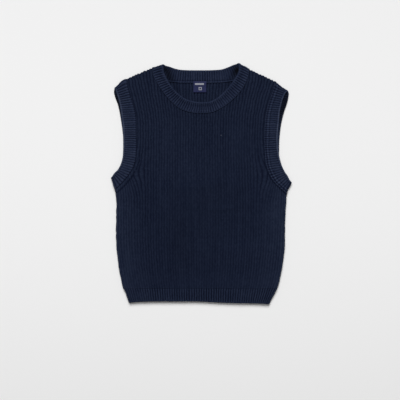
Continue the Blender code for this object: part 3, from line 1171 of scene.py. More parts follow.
@dataclass(frozen=True)
class WovenFinish:
    """Satin-woven label cloth, or a thread in it."""

    name: str
    colour: tuple[float, float, float]
    pick: float = 0.35          # distance between the weave's threads
    slant: float = 0.5          # how far the warp moves over from pick to pick
    weft_share: float = 0.6
    shade: float = 0.8          # what the valleys of the weave keep, and what its tops add
    light: float = 0.25
    cloud_scale: float = 900.0
    cloud_tone: float = 0.4
    bump: float = 0.4
    bump_depth: float = 0.0002
    roughness: float = 0.5
    roughness_change: float = 0.15
    specular: float = 0.15

    def material(self) -> bpy.types.Material:
        """Builds the finish's material.

        Returns:
            The material.
        """
        material, tree = empty_material(self.name)
        place = tree.add("ShaderNodeTexCoord", None, None, "Object")
        split = tree.add("ShaderNodeSeparateXYZ", None, {0: place})
        count = 1.0 / (self.pick * MM)
        weft = tree.wave(split.output("Y") * count)
        warp = tree.wave(split.output("X") * count + split.output("Y") * (count * self.slant))
        weave = weft * self.weft_share + warp * (1.0 - self.weft_share)
        cloud = tree.noise(self.cloud_scale, 2.0, place)
        tone = self.shade + self.light * weave + self.cloud_tone * (cloud - 0.5)
        finish_material(tree, {
            "Base Color": tree.vector("MULTIPLY", tree.combine(*self.colour),
                                      tree.combine(tone, tone, tone)),
            "Roughness": self.roughness + self.roughness_change * cloud,
            "Normal": tree.add("ShaderNodeBump", None, {
                "Height": weave, "Strength": self.bump, "Distance": self.bump_depth,
            }),
            "Specular IOR Level": self.specular,
        })
        return material


BODY_GAUGE = Gauge(course=3.8, rib_depth=1.6, groove=0.28, stitch_depth=0.35, unevenness=0.35,
                   wander=3.6, pressing=0.55)
BAND_GAUGE = Gauge(course=3.1, rib_depth=1.6, groove=0.22, stitch_depth=0.3, unevenness=0.35,
                   wander=2.6, pressing=0.7)
HEM_GAUGE = Gauge(course=3.2, rib_depth=1.7, groove=0.24, stitch_depth=0.3, unevenness=0.35,
                  wander=2.4, pressing=0.45)
BODY_FINISH = KnitFinish("body_knit_navy", (0.0014, 0.0030, 0.0122), (0.0141, 0.0214, 0.0455),
                         BODY_GAUGE, fleck=Fleck((42.0, 105.2, 7.2)))
# The rib finishes are paler than the body's, the armholes' most: partly painted light where their ribs
# face the light
BAND_FINISH = KnitFinish("neck_rib_navy", (0.0022, 0.0040, 0.0140), (0.0205, 0.0295, 0.0620),
                         BAND_GAUGE, cloud_tone=0.35)
ARM_FINISH = KnitFinish("armhole_rib_navy", (0.0026, 0.0044, 0.0158), (0.0250, 0.0352, 0.0690),
                        BAND_GAUGE, cloud_tone=0.35)
HEM_FINISH = KnitFinish("hem_rib_navy", (0.0003, 0.0010, 0.0075), (0.0190, 0.0285, 0.0595),
                        HEM_GAUGE)
LABEL_FINISH = WovenFinish("label_blue_satin", (0.0142, 0.0187, 0.0690))
THREAD_FINISH = WovenFinish("label_pale_thread", (0.30, 0.31, 0.35), 0.5)


# -------- cloth


def new_object(name: str, data: bpy.types.ID) -> bpy.types.Object:
    """Puts a new object into the scene.

    Args:
        name: Its name.
        data: Its mesh, light or camera.

    Returns:
        The object.
    """
    obj = bpy.data.objects.new(name, data)
    bpy.context.scene.collection.objects.link(obj)
    return obj


def new_mesh(name: str, places: Array, edges: Sequence[Sequence[int]],
             faces: Sequence[Sequence[int]]) -> bpy.types.Mesh:
    """Makes a mesh from places in millimetres.

    Args:
        name: Its name.
        places: Its points.
        edges: Edges without faces, as numbers of points.
        faces: Faces, as numbers of points.

    Returns:
        The mesh.
    """
    mesh = bpy.data.meshes.new(name)
    mesh.from_pydata((places * MM).tolist(), edges, faces)
    return mesh


def keep(mesh: bpy.types.Mesh, name: str, values: Array) -> None:
    """Keeps values as an attribute of a mesh's points.

    Args:
        mesh: The mesh.
        name: The attribute's name.
        values: A number or a row of three for each point.
    """
    kind, key = ("FLOAT", "value") if values.ndim == 1 else ("FLOAT_VECTOR", "vector")
    attribute = mesh.attributes.new(name, kind, "POINT")
    attribute.data.foreach_set(key, values.astype(np.float32).ravel())


@dataclass
class Cloth:
    """Points of cloth with what their relief is worked out from, all in millimetres."""

    place: Array
    out: Array
    wale: Array
    course: Array
    ease: Array                 # how much of the relief the point takes
    roll: Array                 # how far it is raised besides
    paling: Array               # painted light and shade: how much paler than its finish it is

    @classmethod
    def join(cls, parts: Sequence["Cloth"]) -> "Cloth":
        """All points of the parts, in order."""
        names = [entry.name for entry in fields(cls)]
        return cls(*(np.concatenate([getattr(part, name) for part in parts]) for name in names))

    def make(self, name: str, faces: Sequence[Sequence[int]], knit: Array | None = None
             ) -> bpy.types.Object:
        """Makes the object.

        Args:
            name: The object's name.
            faces: Its faces, as numbers of points.
            knit: Wale and course of each corner of each face, if the points' own don't serve.

        Returns:
            The object, with its attributes and its UV map.
        """
        mesh = new_mesh(name, self.place, [], faces)
        mesh.shade_smooth()
        for label, values in (("wale", self.wale), ("course", self.course), ("ease", self.ease),
                              ("roll", self.roll * MM), (PAINTED_LIGHT, self.paling), ("out", self.out)):
            keep(mesh, label, values)
        if knit is None:
            corners = np.zeros(len(mesh.loops), np.int32)
            mesh.loops.foreach_get("vertex_index", corners)
            knit = np.column_stack([self.wale[corners], self.course[corners]])
        mesh.uv_layers.new(name=KNIT_MAP).data.foreach_set("uv", knit.astype(np.float32).ravel())
        return new_object(name, mesh)


class Workshop:
    """The node trees and finishes that the pieces share."""

    def __init__(self) -> None:
        """Builds them."""
        self.relief = Relief().tree()
        self.chain = chain_tree()
        self.materials: dict[str, bpy.types.Material] = {}

    def material(self, finish: KnitFinish | WovenFinish) -> bpy.types.Material:
        """The finish's material, built when it is first asked for.

        Args:
            finish: The finish.

        Returns:
            The material.
        """
        if finish.name not in self.materials:
            self.materials[finish.name] = finish.material()
        return self.materials[finish.name]

    def knit(self, obj: bpy.types.Object, finish: KnitFinish) -> None:
        """Raises the ribs and stitches of a piece and dresses it.

        Args:
            obj: The piece.
            finish: Its finish.
        """
        gauge = finish.gauge
        run_tree(obj, self.relief, {
            "Rib Depth": gauge.rib_depth * MM,
            "Groove": gauge.groove * MM,
            "Stitch Depth": gauge.stitch_depth * MM,
            "Unevenness": gauge.unevenness * MM,
            "Wander": gauge.wander * MM,
            "Lean": gauge.lean,
            "Pressing": gauge.pressing,
            "Material": self.material(finish),
        })
        for name in WORKING:
            obj.data.attributes.remove(obj.data.attributes[name])


@dataclass
class Piece:
    """A piece of the vest, which stands for a node of the frame."""

    name: str
    node: str
    slot: Slot

    def place(self, obj: bpy.types.Object, flat: tuple[float, float], area: float | None,
              rests_on: Sequence[str] = (), with_pieces: Sequence[bpy.types.Object] = ()) -> None:
        """Ties the finished object to the frame.

        Args:
            obj: The object.
            flat: Width and length that it was made to, in metres. Not used.
            area: Its flat area in square metres, where it isn't a rectangle. Not used.
            rests_on: What it lies on.
            with_pieces: What is sewn on it.
        """
        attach(obj, BODY)
        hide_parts(self.node)
        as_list(rests_on)
        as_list(with_pieces)


@dataclass
class Panel(Piece):
    """The front or the back: a net of stitches cut to its outline."""

    layer: Layer
    neck: tuple[BandRow, ...]
    flat: tuple[float, float]
    area: float
    rests_on: tuple[str, ...]
    neck_beads: tuple[Bead, ...] = (Bead(0.0, 1.0, -0.5),)
    left_beads: tuple[Bead, ...] = (Bead(0.0, 1.0, -0.5),)
    right_beads: tuple[Bead, ...] = (Bead(0.0, 1.2, 0.05), Bead(2.3, 0.9, -0.45))
    low_left_beads: tuple[Bead, ...] = (Bead(0.0, 1.0, -0.4), Bead(4.0, 2.2, 0.12),
                                        Bead(7.9, 1.0, -0.9))
    low_right_beads: tuple[Bead, ...] = (Bead(2.3, 0.9, -0.4),)
    seam_ease: float = 0.5      # share of the relief at the neck's and the left armhole's seam
    seam_fade: tuple[float, float] = (0.3, 2.2)
    low_ease: float = 0.7       # share of the relief low on the body, and what is added up it
    ease_slopes: tuple[Slope, ...] = (Slope(-40.0, 110.0, 0.2), Slope(110.0, 215.0, 0.25))
    low_calm: float = 0.4       # how much flatter the ribs lie beside the left armhole's low curve
    low_fade: tuple[float, float] = (6.2, 7.6)
    edge_step: float = 1.4
    columns: int = 4            # points across a rib on the outer face, and on the inner
    inner_columns: int = 2
    bottom: float = -224.0
    half_wales: int = 33        # how far the net reaches, in ribs to a side and in courses
    net_courses: int = 132
    clear: float = 0.75         # the net keeps this far off the outline
    same_point: float = 0.00001
    mark_clear: float = 0.1     # ribs keep this far off the ends of a shoulder
    shown_above: float = 140.0  # the back's inside shows above this and this near the middle
    shown_half: float = 112.0

    def folds(self, seams: Sequence[Spots]) -> list[list[Spots]]:
        """Lines of spots along the four folds, one for each turn, between the seams' ends.

        Args:
            seams: Hem, right armhole, neck and left armhole, in order round the panel.

        Returns:
            For each fold, a line for each turn, ends left out.
        """
        lines = (SIDE_RIGHT, SHOULDER_RIGHT, SHOULDER_LEFT, SIDE_LEFT)
        found = []
        for number, line in enumerate(lines):
            before, after = seams[number], seams[(number + 1) % len(seams)]
            curve = smooth(line, FOLD_STEP)
            along = unit(curve[2:] - curve[:-2])
            normal = np.column_stack([-along[:, 1], along[:, 0]])
            normal *= np.sign(np.einsum("ij,ij->i", normal, -curve[1:-1]))[:, None]
            rows = []
            for k, turn in enumerate(FOLD_TURNS):
                at = curve[1:-1] + normal * fold_inset(turn)
                inner = np.column_stack([at, np.full(len(at), turn), -normal])
                ends = before.pick([-1 - k]).table(), after.pick([k]).table()
                rows.append(self.fold_line(np.vstack([ends[0], inner, ends[1]]), number in (1, 2)))
            found.append(rows)
        return found

    def fold_line(self, table: Array, shoulder: bool) -> Spots:
        """One line of a fold, at the ribs on a shoulder and evenly spaced at a side.

        Args:
            table: The line as a table of spots.
            shoulder: Whether the fold is a shoulder's.

        Returns:
            The line's spots.
        """
        dense = spaced(table, LINE_STEP)
        if shoulder:
            wales = FAN.wale(dense[:, :2])
            low, high = sorted((wales[0], wales[-1]))
            marks = np.arange(math.ceil(low * self.columns), high * self.columns) / self.columns
            marks = marks[(marks > low + self.mark_clear) & (marks < high - self.mark_clear)]
            found = at_marks(dense, wales, marks)
            if wales[0] > wales[-1]:
                found = found[::-1]
        else:
            found = spaced(dense, BODY_GAUGE.course / 2)[1:-1]
        return Spots.of(found)

    def seam(self, rows: Sequence[BandRow], along_wales: bool = False) -> Spots:
        """The panel's edge at a seam, with the turns of both folds kept as they are.

        Args:
            rows: The table of the band beyond the seam.
            along_wales: Whether the edge has its points at the ribs.

        Returns:
            The edge, from fold to fold.
        """
        dense = seam_spots(rows, self.layer)
        count = len(FOLD_TURNS)
        middle = dense.pick(slice(count - 1, len(dense.at) - count + 1)).table()
        if along_wales:
            wales = FAN.wale(middle[:, :2])
            found = at_marks(middle, wales, rib_marks(wales, self.columns))
        else:
            found = spaced(middle, self.edge_step)[1:-1]
        first, last = dense.pick(slice(0, count)), dense.pick(slice(len(dense.at) - count, None))
        return Spots.join([first, Spots.of(found), last])

    def net(self, columns: int, per_course: int, phase: float) -> Array:
        """Points of the stitches: columns along the wales, and rows bent to each stitch's V.

        Args:
            columns: Columns to a rib.
            per_course: Rows to a course.
            phase: How far the ribs are moved over.

        Returns:
            The points.
        """
        wales = np.arange(-self.half_wales * columns, self.half_wales * columns + 1) / columns
        rows = np.arange(0, self.net_courses * per_course) / per_course
        off = np.abs(wales + phase - np.round(wales + phase))
        courses = rows[:, None] + BODY_GAUGE.lean * off[None, :] - 1.0
        y = self.bottom + courses * BODY_GAUGE.course
        x = FAN.x(np.broadcast_to(wales, y.shape), y)
        return np.column_stack([x.ravel(), y.ravel()])

    def shown(self, points: Array) -> Array:
        """Which points of the back's inner face show through the neck."""
        return (points[:, 1] > self.shown_above) & (np.abs(points[:, 0]) < self.shown_half)

    def inner_net(self) -> Array:
        """Points of the inner face's stitches, as fine as the outer face's only where they show.

        Returns:
            The points.
        """
        coarse = self.net(self.inner_columns, 1, 0.5)
        if self.layer is Layer.FRONT:
            return coarse
        fine = self.net(self.columns, 2, 0.5)
        return np.vstack([fine[self.shown(fine)], coarse[~self.shown(coarse)]])

    def shell(self, loop: Spots, starts: list[int], folds: list[list[Spots]], inner_loop: Array,
              net: Array) -> tuple[Spots, list[list[int]], Array]:
        """Fills the outline with the net.

        Args:
            loop: The outline.
            starts: Where each of its eight parts starts.
            folds: The lines along the folds.
            inner_loop: The outline of the flat part, without the folds.
            net: Points to fill it with.

        Returns:
            All spots, the triangles, and the numbers of the outline's spots.
        """
        coarse = inner_loop[::THINNED]
        kept = net[inside(net, coarse)]
        closed = np.vstack([coarse, coarse[:1]])
        kept = kept[distance_to(kept, closed) > self.clear]
        parts, edges = [loop], [(i, (i + 1) % len(loop.at)) for i in range(len(loop.at))]
        total = len(loop.at)
        ends = starts + [len(loop.at)]
        for number, rows in enumerate(folds):
            before, after = 2 * number, (2 * number + 2) % len(starts)
            for k, row in enumerate(rows[1:], start=1):
                middle = list(range(total, total + len(row.at)))
                line = [ends[before + 1] - 1 - k, *middle, starts[after] + k]
                edges += list(zip(line, line[1:]))
                parts.append(row)
                total += len(row.at)
        spots = Spots.join(parts + [Spots.flat(kept)])
        points = [Vector(p) for p in spots.at.tolist()]
        border = list(range(len(loop.at)))
        made = delaunay_2d_cdt(points, edges, [border], 1, self.same_point)
        order = np.array([source[0] if source else -1 for source in made[3]])
        if (order < 0).any():
            log.warning("%s: %d new points in the net", self.name, int((order < 0).sum()))
        places = np.full(len(spots.at), -1)
        places[order[order >= 0]] = np.flatnonzero(order >= 0)
        return spots.pick(order), [list(face) for face in made[2]], places[border]

    def lift(self, points: Array, outline: Array) -> Array:
        """How far the air under the cloth and its creases raise it over each point.

        Args:
            points: The points.
            outline: The panel's outline.

        Returns:
            A height for each point.
        """
        away = distance_to(points, np.vstack([outline[::THINNED], outline[:1]]))
        free = 1 - np.exp(-((away / SETTLE_REACH) ** 2))
        rise, crease = swelling(points, SWELLS), swelling(points, CREASES)
        if self.layer is Layer.FRONT:
            return free * (rise - PANEL_SETTLE + crease)
        return free * np.maximum(BACK_SHARE * rise + BACK_CREASES * crease, 0.0)

    def dress(self, spots: Spots, outline: Array, seams: Sequence[Spots], outer: bool) -> Cloth:
        """Gives spots their height, their stitch and their share of the relief.

        Args:
            spots: The spots of one face.
            outline: Places round the panel.
            seams: Hem, right armhole, neck and left armhole.
            outer: Whether it is the face that looks away from the other layer.

        Returns:
            The face's points.
        """
        lift = self.lift(spots.at, outline)
        middle, out = middle_places(spots, self.layer, PANEL_WALL, lift, -SEAM_LAP)
        arm_right, neck, arm_left = (distance_to(spots.at, s.at[::THINNED]) for s in seams[1:])
        y = spots.at[:, 1]
        low = low_share(y)
        near = ramp(np.minimum(arm_left, neck), *self.seam_fade)
        ease = self.seam_ease + (1 - self.seam_ease) * near
        slopes = (slope.amount * ramp(y, slope.low, slope.high) for slope in self.ease_slopes)
        ease *= sum(slopes, self.low_ease)
        ease += swelling(spots.at, RIBBED)
        roll = beading(neck, self.neck_beads)
        roll += beading(arm_left, self.left_beads)
        roll += beading(arm_right, self.right_beads)
        if outer and self.layer is Layer.FRONT:
            ease *= 1 - self.low_calm * low * (1 - ramp(arm_left, *self.low_fade))
            roll += low * beading(arm_left, self.low_left_beads)
            roll += low * beading(arm_right, self.low_right_beads)
        side = 1.0 if outer else -1.0
        return Cloth(
            place=middle + side * out * PANEL_WALL / 2,
            out=side * out,
            wale=FAN.wale(spots.at) + (0.0 if outer else 0.5),
            course=(y - self.bottom) / BODY_GAUGE.course,
            ease=ease,
            roll=roll,
            paling=self.paling(spots.at, outer),
        )

    def paling(self, points: Array, outer: bool) -> Array:
        """Painted light along the sides, and painted shade low down and in hollows: how much paler or
        darker the cloth is made.

        Args:
            points: The points.
            outer: Whether they are on the face that looks outwards.

        Returns:
            The paling of each point.
        """
        lines = [smooth(line, FOLD_STEP) for line in (SIDE_LEFT, SIDE_RIGHT)]
        side = np.minimum(*(distance_to(points, line) for line in lines))
        y = points[:, 1]
        pale = SIDE_PAINTED_LIGHT * np.exp(-((side / SIDE_REACH) ** SIDE_FALL))
        pale = pale + FOLD_PAINTED_LIGHT * bell(side, 0.0, FOLD_REACH)
        shade = (1 + pale * falling(y, 35.0, -15.0)) * (1 - LOW_PAINTED_SHADE * falling(y, 25.0, -20.0))
        shade += swelling(points, PAINTED_LIGHT_PATCHES)
        if self.layer is Layer.BACK and not outer:
            shade *= np.maximum(1 + swelling(points, POCKETS), DIMMEST)
        return shade - 1

    def build(self, shop: Workshop) -> list[bpy.types.Object]:
        """Builds the panel.

        Args:
            shop: The trees and finishes.

        Returns:
            The panel, alone.
        """
        seams = [
            self.seam(HEM, along_wales=True),
            self.seam(ARM_RIGHT).turned_round(),
            self.seam(self.neck).turned_round(),
            self.seam(ARM_LEFT),
        ]
        folds = self.folds(seams)
        flat = len(FOLD_TURNS) - 1
        parts = [part for seam, rows in zip(seams, folds) for part in (seam, rows[0])]
        loop = Spots.join(parts)
        starts = [0, *np.cumsum([len(part.at) for part in parts])[:-1].tolist()]
        inner_loop = np.vstack([
            line for seam, rows in zip(seams, folds)
            for line in (seam.at[flat:len(seam.at) - flat], rows[-1].at)
        ])
        cloths, faces, borders, count = [], [], [], 0
        for outer, net in ((True, self.net(self.columns, 2, 0.0)), (False, self.inner_net())):
            spots, triangles, border = self.shell(loop, starts, folds, inner_loop, net)
            upward = outer == (self.layer is Layer.FRONT)
            cloths.append(self.dress(spots, loop.at, seams, outer))
            faces += [[count + i for i in (face if upward else face[::-1])] for face in triangles]
            borders.append(border + count)
            count += len(spots.at)
        rim = zip(borders[0], np.roll(borders[0], -1), np.roll(borders[1], -1), borders[1])
        for a, b, c, d in rim:
            quad = [int(b), int(a), int(d), int(c)]
            faces.append(quad if self.layer is Layer.FRONT else quad[::-1])
        obj = Cloth.join(cloths).make(self.name, faces)
        shop.knit(obj, BODY_FINISH)
        self.place(obj, self.flat, self.area, self.rests_on)
        return [obj]


@dataclass
class Strip:
    """The stations of a band, with what its faces and its rim are both worked out from."""

    wales: Array
    seam: Array
    edge: Array
    along: Array                # the direction from the seam to the free edge
    out: Array
    bow: Array
    reach: Array                # from the seam to where the rim starts to turn
    courses: int
    low: Array
    hollow: Array               # 1 where the face that looks up is inside the garment
    pale: Array                 # painted highlight: how much paler the free edge is


@dataclass
class Band(Piece):
    """A strip of ribbing across its length: a closed profile carried along its rungs."""

    wall: float
    finish: KnitFinish
    flat: tuple[float, float]
    rests_on: tuple[str, ...]
    outer_beads: tuple[Bead, ...] = (Bead(0.0, 0.9, -0.9),)
    inner_beads: tuple[Bead, ...] = (Bead(0.0, 0.9, -0.9),)
    low_beads: tuple[Bead, ...] = ()            # added in the lower curves of the armholes
    outer_calm: float = 0.0     # how far from the seam the ribs lie flatter
    inner_calm: float = 0.0
    seam_ease: float = 0.4      # share of the relief at the seam
    seam_fade: tuple[float, float] = (0.2, 2.0)
    per_rib: int = 6            # points in a rib, and in a course
    per_course: int = 3
    free_courses: float = 2.0   # over which the stitches' slant comes in at the seam and the rim
    bow_reach: float = 14.0     # how far along a bow reaches
    bow_scale: float = 6.75     # brings the bow's curve, s (1 - s) squared, to 1 at its top
    rim_ease: float = 0.3       # share of the relief at the rim
    rim_fade: tuple[float, float] = (0.8, 2.8)
    rim_courses: float = 0.6    # courses from where the rim starts to turn to its middle
    rims: tuple[Level, ...] = (Level(0.0, 0.0),)        # painted highlight on the rim: how much paler it is, and how far in
    rim_reach: float = 2.6
    rim_middle: float = -1.0    # the painted highlight is strongest this far over the rim
    hollow_facing: tuple[float, float] = (0.2, 0.8)     # by how far it looks down
    hollow_turns: tuple[float, float] = (0.5, 1.3)      # and by how far round the rim it is
    rim_beads: tuple[Bead, ...] = (Bead(0.3, 1.2, 0.2), Bead(2.9, 0.9, -0.5))
    rim_turns: tuple[float, ...] = (18.0, 42.0, 66.0, 90.0, 114.0, 138.0, 162.0)

    def lifted(self, rows: Sequence[BandRow], layer: Layer, parting: float) -> Array:
        """Raises one layer's rungs off the ground.

        Args:
            rows: The band's table.
            layer: The front or the back layer.
            parting: Half the gap on the fold.

        Returns:
            A table with columns seam xyz, edge xyz, outward xyz, bow xy.
        """
        rungs = band_rungs(rows, layer)
        across = unit(rungs[:, 2:4] - rungs[:, :2])
        ends = []
        for at in (rungs[:, :2] - across * SEAM_LAP, rungs[:, 2:4]):
            spots = Spots(at, rungs[:, 4], rungs[:, 5:])
            ends.append(middle_places(spots, layer, self.wall, 0.0, parting))
        bow = np.zeros((len(rungs), 2))
        for row, end in ((rows[0], rungs[0]), (rows[-1], rungs[-1])):
            near = bell(np.hypot(*(rungs[:, :2] - end[:2]).T), 0.0, self.bow_reach)
            bow += row.bow * near[:, None] * end[5:7]
        return np.column_stack([ends[0][0], ends[1][0], ends[0][1], bow])

    def strip(self, stations: Array, wales: Array) -> Strip:
        """Works out what the whole profile needs at every station.

        Args:
            stations: Rungs in space.
            wales: The wale of each of them.

        Returns:
            The strip.
        """
        seam, edge, out = stations[:, :3], stations[:, 3:6], unit(stations[:, 6:9])
        hollow = ramp(-out[:, 2:], *self.hollow_facing)
        width = np.linalg.norm(edge - seam, axis=1, keepdims=True)
        radius = self.wall / 2
        return Strip(
            wales=wales,
            seam=seam,
            edge=edge,
            along=(edge - seam) / width,
            out=out,
            bow=np.column_stack([stations[:, 9:], np.zeros(len(stations))])[:, None],
            reach=width - radius,
            courses=round(float(width.mean() - radius) / self.finish.gauge.course),
            low=low_share(seam[:, 1:2]),
            hollow=hollow,
            pale=np.interp(edge[:, 1:2], *np.array(self.rims).T) * (1 - hollow),
        )

    def face(self, strip: Strip, side: float, beads: Sequence[Bead], calm: float) -> list[Array]:
        """The points of one face, from the seam to where the rim starts to turn.

        Args:
            strip: The stations.
            side: 1 for the outer face and -1 for the inner one.
            beads: Ridges and grooves along the seam.
            calm: How far from the seam the ribs lie flatter.

        Returns:
            The arrays of a Cloth, each with a row for each station.
        """
        courses, reach = strip.courses, strip.reach
        rows = np.arange(courses * self.per_course + 1) / self.per_course
        free = self.free_courses
        window = np.clip(rows / free, 0, 1) * np.clip((courses - rows) / free, 0, 1)
        wale = strip.wales[:, None] + (0.0 if side > 0 else 0.5)
        off = np.abs(wale - np.round(wale))
        course = rows + self.finish.gauge.lean * off * window
        far = course / courses * reach
        start, full = self.seam_fade
        ease = self.seam_ease + (1 - self.seam_ease) * ramp(far, calm + start, calm + full)
        ease = ease * (self.rim_ease + (1 - self.rim_ease) * ramp(reach - far, *self.rim_fade))
        roll = beading(far, beads) + beading(reach - far, self.rim_beads)
        if side > 0:
            roll = roll + strip.low * beading(far, self.low_beads)
        place = strip.seam[:, None] + strip.along[:, None] * far[..., None]
        place = place + side * strip.out[:, None] * self.wall / 2
        share = far / reach
        place = place + strip.bow * (self.bow_scale * share * (1 - share) ** 2)[..., None]
        facing = np.broadcast_to(side * strip.out[:, None], place.shape)
        paling = strip.pale * bell(reach - far, self.rim_middle, self.rim_reach)
        paling = paling + self.field(place, PAINTED_LIGHT_PATCHES)
        ease = ease + self.field(place, RIBBED)
        if side < 0:
            paling = (1 + paling) * self.gloom(place, strip.hollow) - 1
        return [place, facing, np.broadcast_to(wale, far.shape), course, ease, roll, paling]

    def rim(self, strip: Strip) -> list[Array]:
        """The points round the free edge.

        Args:
            strip: The stations.

        Returns:
            The arrays of a Cloth, each with a row for each station.
        """
        turns = np.radians(self.rim_turns)
        facing = (
            strip.along[:, None] * np.sin(turns)[None, :, None]
            + strip.out[:, None] * np.cos(turns)[None, :, None]
        )
        place = (strip.seam + strip.along * strip.reach)[:, None] + facing * (self.wall / 2)
        shape = place.shape[:2]
        wale = strip.wales[:, None] + np.where(turns > math.pi / 2, 0.5, 0.0)
        ease = self.rim_ease * np.abs(np.cos(turns))
        course = strip.courses + np.sin(turns) * self.rim_courses
        roll = beading(np.zeros(1), self.rim_beads) * np.abs(np.cos(turns))
        dim = self.gloom(place, strip.hollow * ramp(turns, *self.hollow_turns))
        spread = [np.broadcast_to(values, shape) for values in (wale, course, ease, roll)]
        return [place, facing, *spread, (1 + strip.pale) * dim - 1]

    def profile(self, stations: Array, wales: Array) -> tuple[Cloth, int]:
        """Points of the closed profile at every station.

        Args:
            stations: Rungs in space.
            wales: The wale of each of them.

        Returns:
            The points, station by station, and how many a station has.
        """
        strip = self.strip(stations, wales)
        outer = self.face(strip, 1.0, self.outer_beads, self.outer_calm)
        inner = self.face(strip, -1.0, self.inner_beads, self.inner_calm)
        back = [values[:, ::-1] for values in inner]
        merged = [np.concatenate(group, axis=1) for group in zip(outer, self.rim(strip), back)]
        flatten = [values.reshape(-1, *values.shape[2:]) for values in merged]
        return Cloth(*flatten), merged[0].shape[1]

    @staticmethod
    def field(place: Array, swells: Sequence[Swell]) -> Array:
        """The sum of the swells over places in a grid."""
        return swelling(place[..., :2].reshape(-1, 2), swells).reshape(place.shape[:2])

    def gloom(self, place: Array, share: Array) -> Array:
        """The share of its colour that cloth keeps in the hollows between the layers."""
        return np.maximum(1 + share * self.field(place, POCKETS), DIMMEST)

    def weave(self, cloth: Cloth, count: int, ribs: int) -> bpy.types.Object:
        """Joins the stations' profiles into one closed shell.

        Args:
            cloth: The points, station by station.
            count: How many a station has.
            ribs: The ribs of a closed band, or 0 where its ends stay apart.

        Returns:
            The object.
        """
        stations, closed = len(cloth.place) // count, ribs > 0
        last = stations if closed else stations - 1
        i, k = np.meshgrid(np.arange(last), np.arange(count), indexing="ij")
        i, k = i.ravel(), k.ravel()
        following, beside = (i + 1) % stations, (k + 1) % count
        faces = np.column_stack([
            i * count + k, following * count + k, following * count + beside, i * count + beside
        ])
        wale = cloth.wale[faces]
        wrapped = (i + 1 >= stations) & closed
        wale[wrapped, 1] += ribs
        wale[wrapped, 2] += ribs
        knit = np.stack([wale, cloth.course[faces]], axis=-1).reshape(-1, 2)
        sides = [cloth.place[faces[:, n]] for n in range(4)]
        normal = np.cross(sides[2] - sides[0], sides[3] - sides[1])
        outward = np.einsum("ij,ij->", normal, cloth.out[faces[:, 0]]) > 0
        faces = faces.tolist()
        if not closed:
            for start in (0, (stations - 1) * count):
                for j in range(count // 2):
                    quad = [start + j, start + j + 1, start + count - 2 - j, start + count - 1 - j]
                    quad = quad if start == 0 else quad[::-1]
                    if len(set(quad)) == 4:
                        faces.append(quad)
                        added = np.column_stack([cloth.wale[quad], cloth.course[quad]])
                        knit = np.vstack([knit, added])
        if not outward:
            faces = [face[::-1] for face in faces]
            knit = knit.reshape(-1, 4, 2)[:, ::-1].reshape(-1, 2)
        return cloth.make(self.name, faces, knit)

    def stations(self) -> tuple[Array, Array, int]:
        """Rungs in space and their wales, and how many ribs a closed band has, or else 0."""
        raise NotImplementedError

    def build(self, shop: Workshop) -> list[bpy.types.Object]:
        """Builds the band.

        Args:
            shop: The trees and finishes.

        Returns:
            The band, alone.
        """
        stations, wales, ribs = self.stations()
        cloth, count = self.profile(stations, wales)
        obj = self.weave(cloth, count, ribs)
        shop.knit(obj, self.finish)
        self.place(obj, self.flat, None, self.rests_on)
        return [obj]


@dataclass
class RingBand(Band):
    """A band all round an opening, over the front layer and back along the back layer."""

    front_rows: tuple[BandRow, ...] = ()
    back_rows: tuple[BandRow, ...] = ()
    pitches: tuple[Level, ...] = ()

    def ring(self) -> Array:
        """Rungs in space all round the opening.

        Returns:
            The rungs, without the first one again at the end.
        """
        front = self.lifted(self.front_rows, Layer.FRONT, 0.0)
        back = self.lifted(self.back_rows, Layer.BACK, 0.0)
        return np.vstack([front, back[::-1][1:-1]])

    def stations(self) -> tuple[Array, Array, int]:
        """Rungs at even shares of the ribs, whose width follows the pitches.

        Returns:
            The rungs, their wales, and the number of ribs.
        """
        ring = self.ring()
        ring = np.vstack([ring, ring[:1]])
        middle = (ring[:, :3] + ring[:, 3:6]) / 2
        pitch = np.interp(middle[:, 1], *np.array(self.pitches).T)
        passed = np.diff(length_along(middle)) * 2 / (pitch[:-1] + pitch[1:])
        wales = np.concatenate([[0.0], np.cumsum(passed)])
        ribs = round(wales[-1])
        marks = np.arange(ribs * self.per_rib) / self.per_rib
        return at_marks(ring, wales * ribs / wales[-1], marks), marks, ribs


@dataclass
class HemBand(Band):
    """The tighter ribbing below one panel, whose ribs go on from the panel's."""

    layer: Layer = Layer.FRONT

    def stations(self) -> tuple[Array, Array, int]:
        """Rungs where the panel's ribs come down to the hem, and all those round both folds.

        Returns:
            The rungs, their wales, and 0.
        """
        rungs = self.lifted(HEM, self.layer, -SEAM_LAP)
        count = len(FOLD_TURNS)
        middle = rungs[count - 1:len(rungs) - count + 1]
        wales = FAN.wale(middle[:, :2])
        marked = at_marks(middle, wales, rib_marks(wales, self.per_rib))
        stations = np.vstack([rungs[:count], marked, rungs[-count:]])
        return stations, FAN.wale(stations[:, :2]), 0


# -------- label


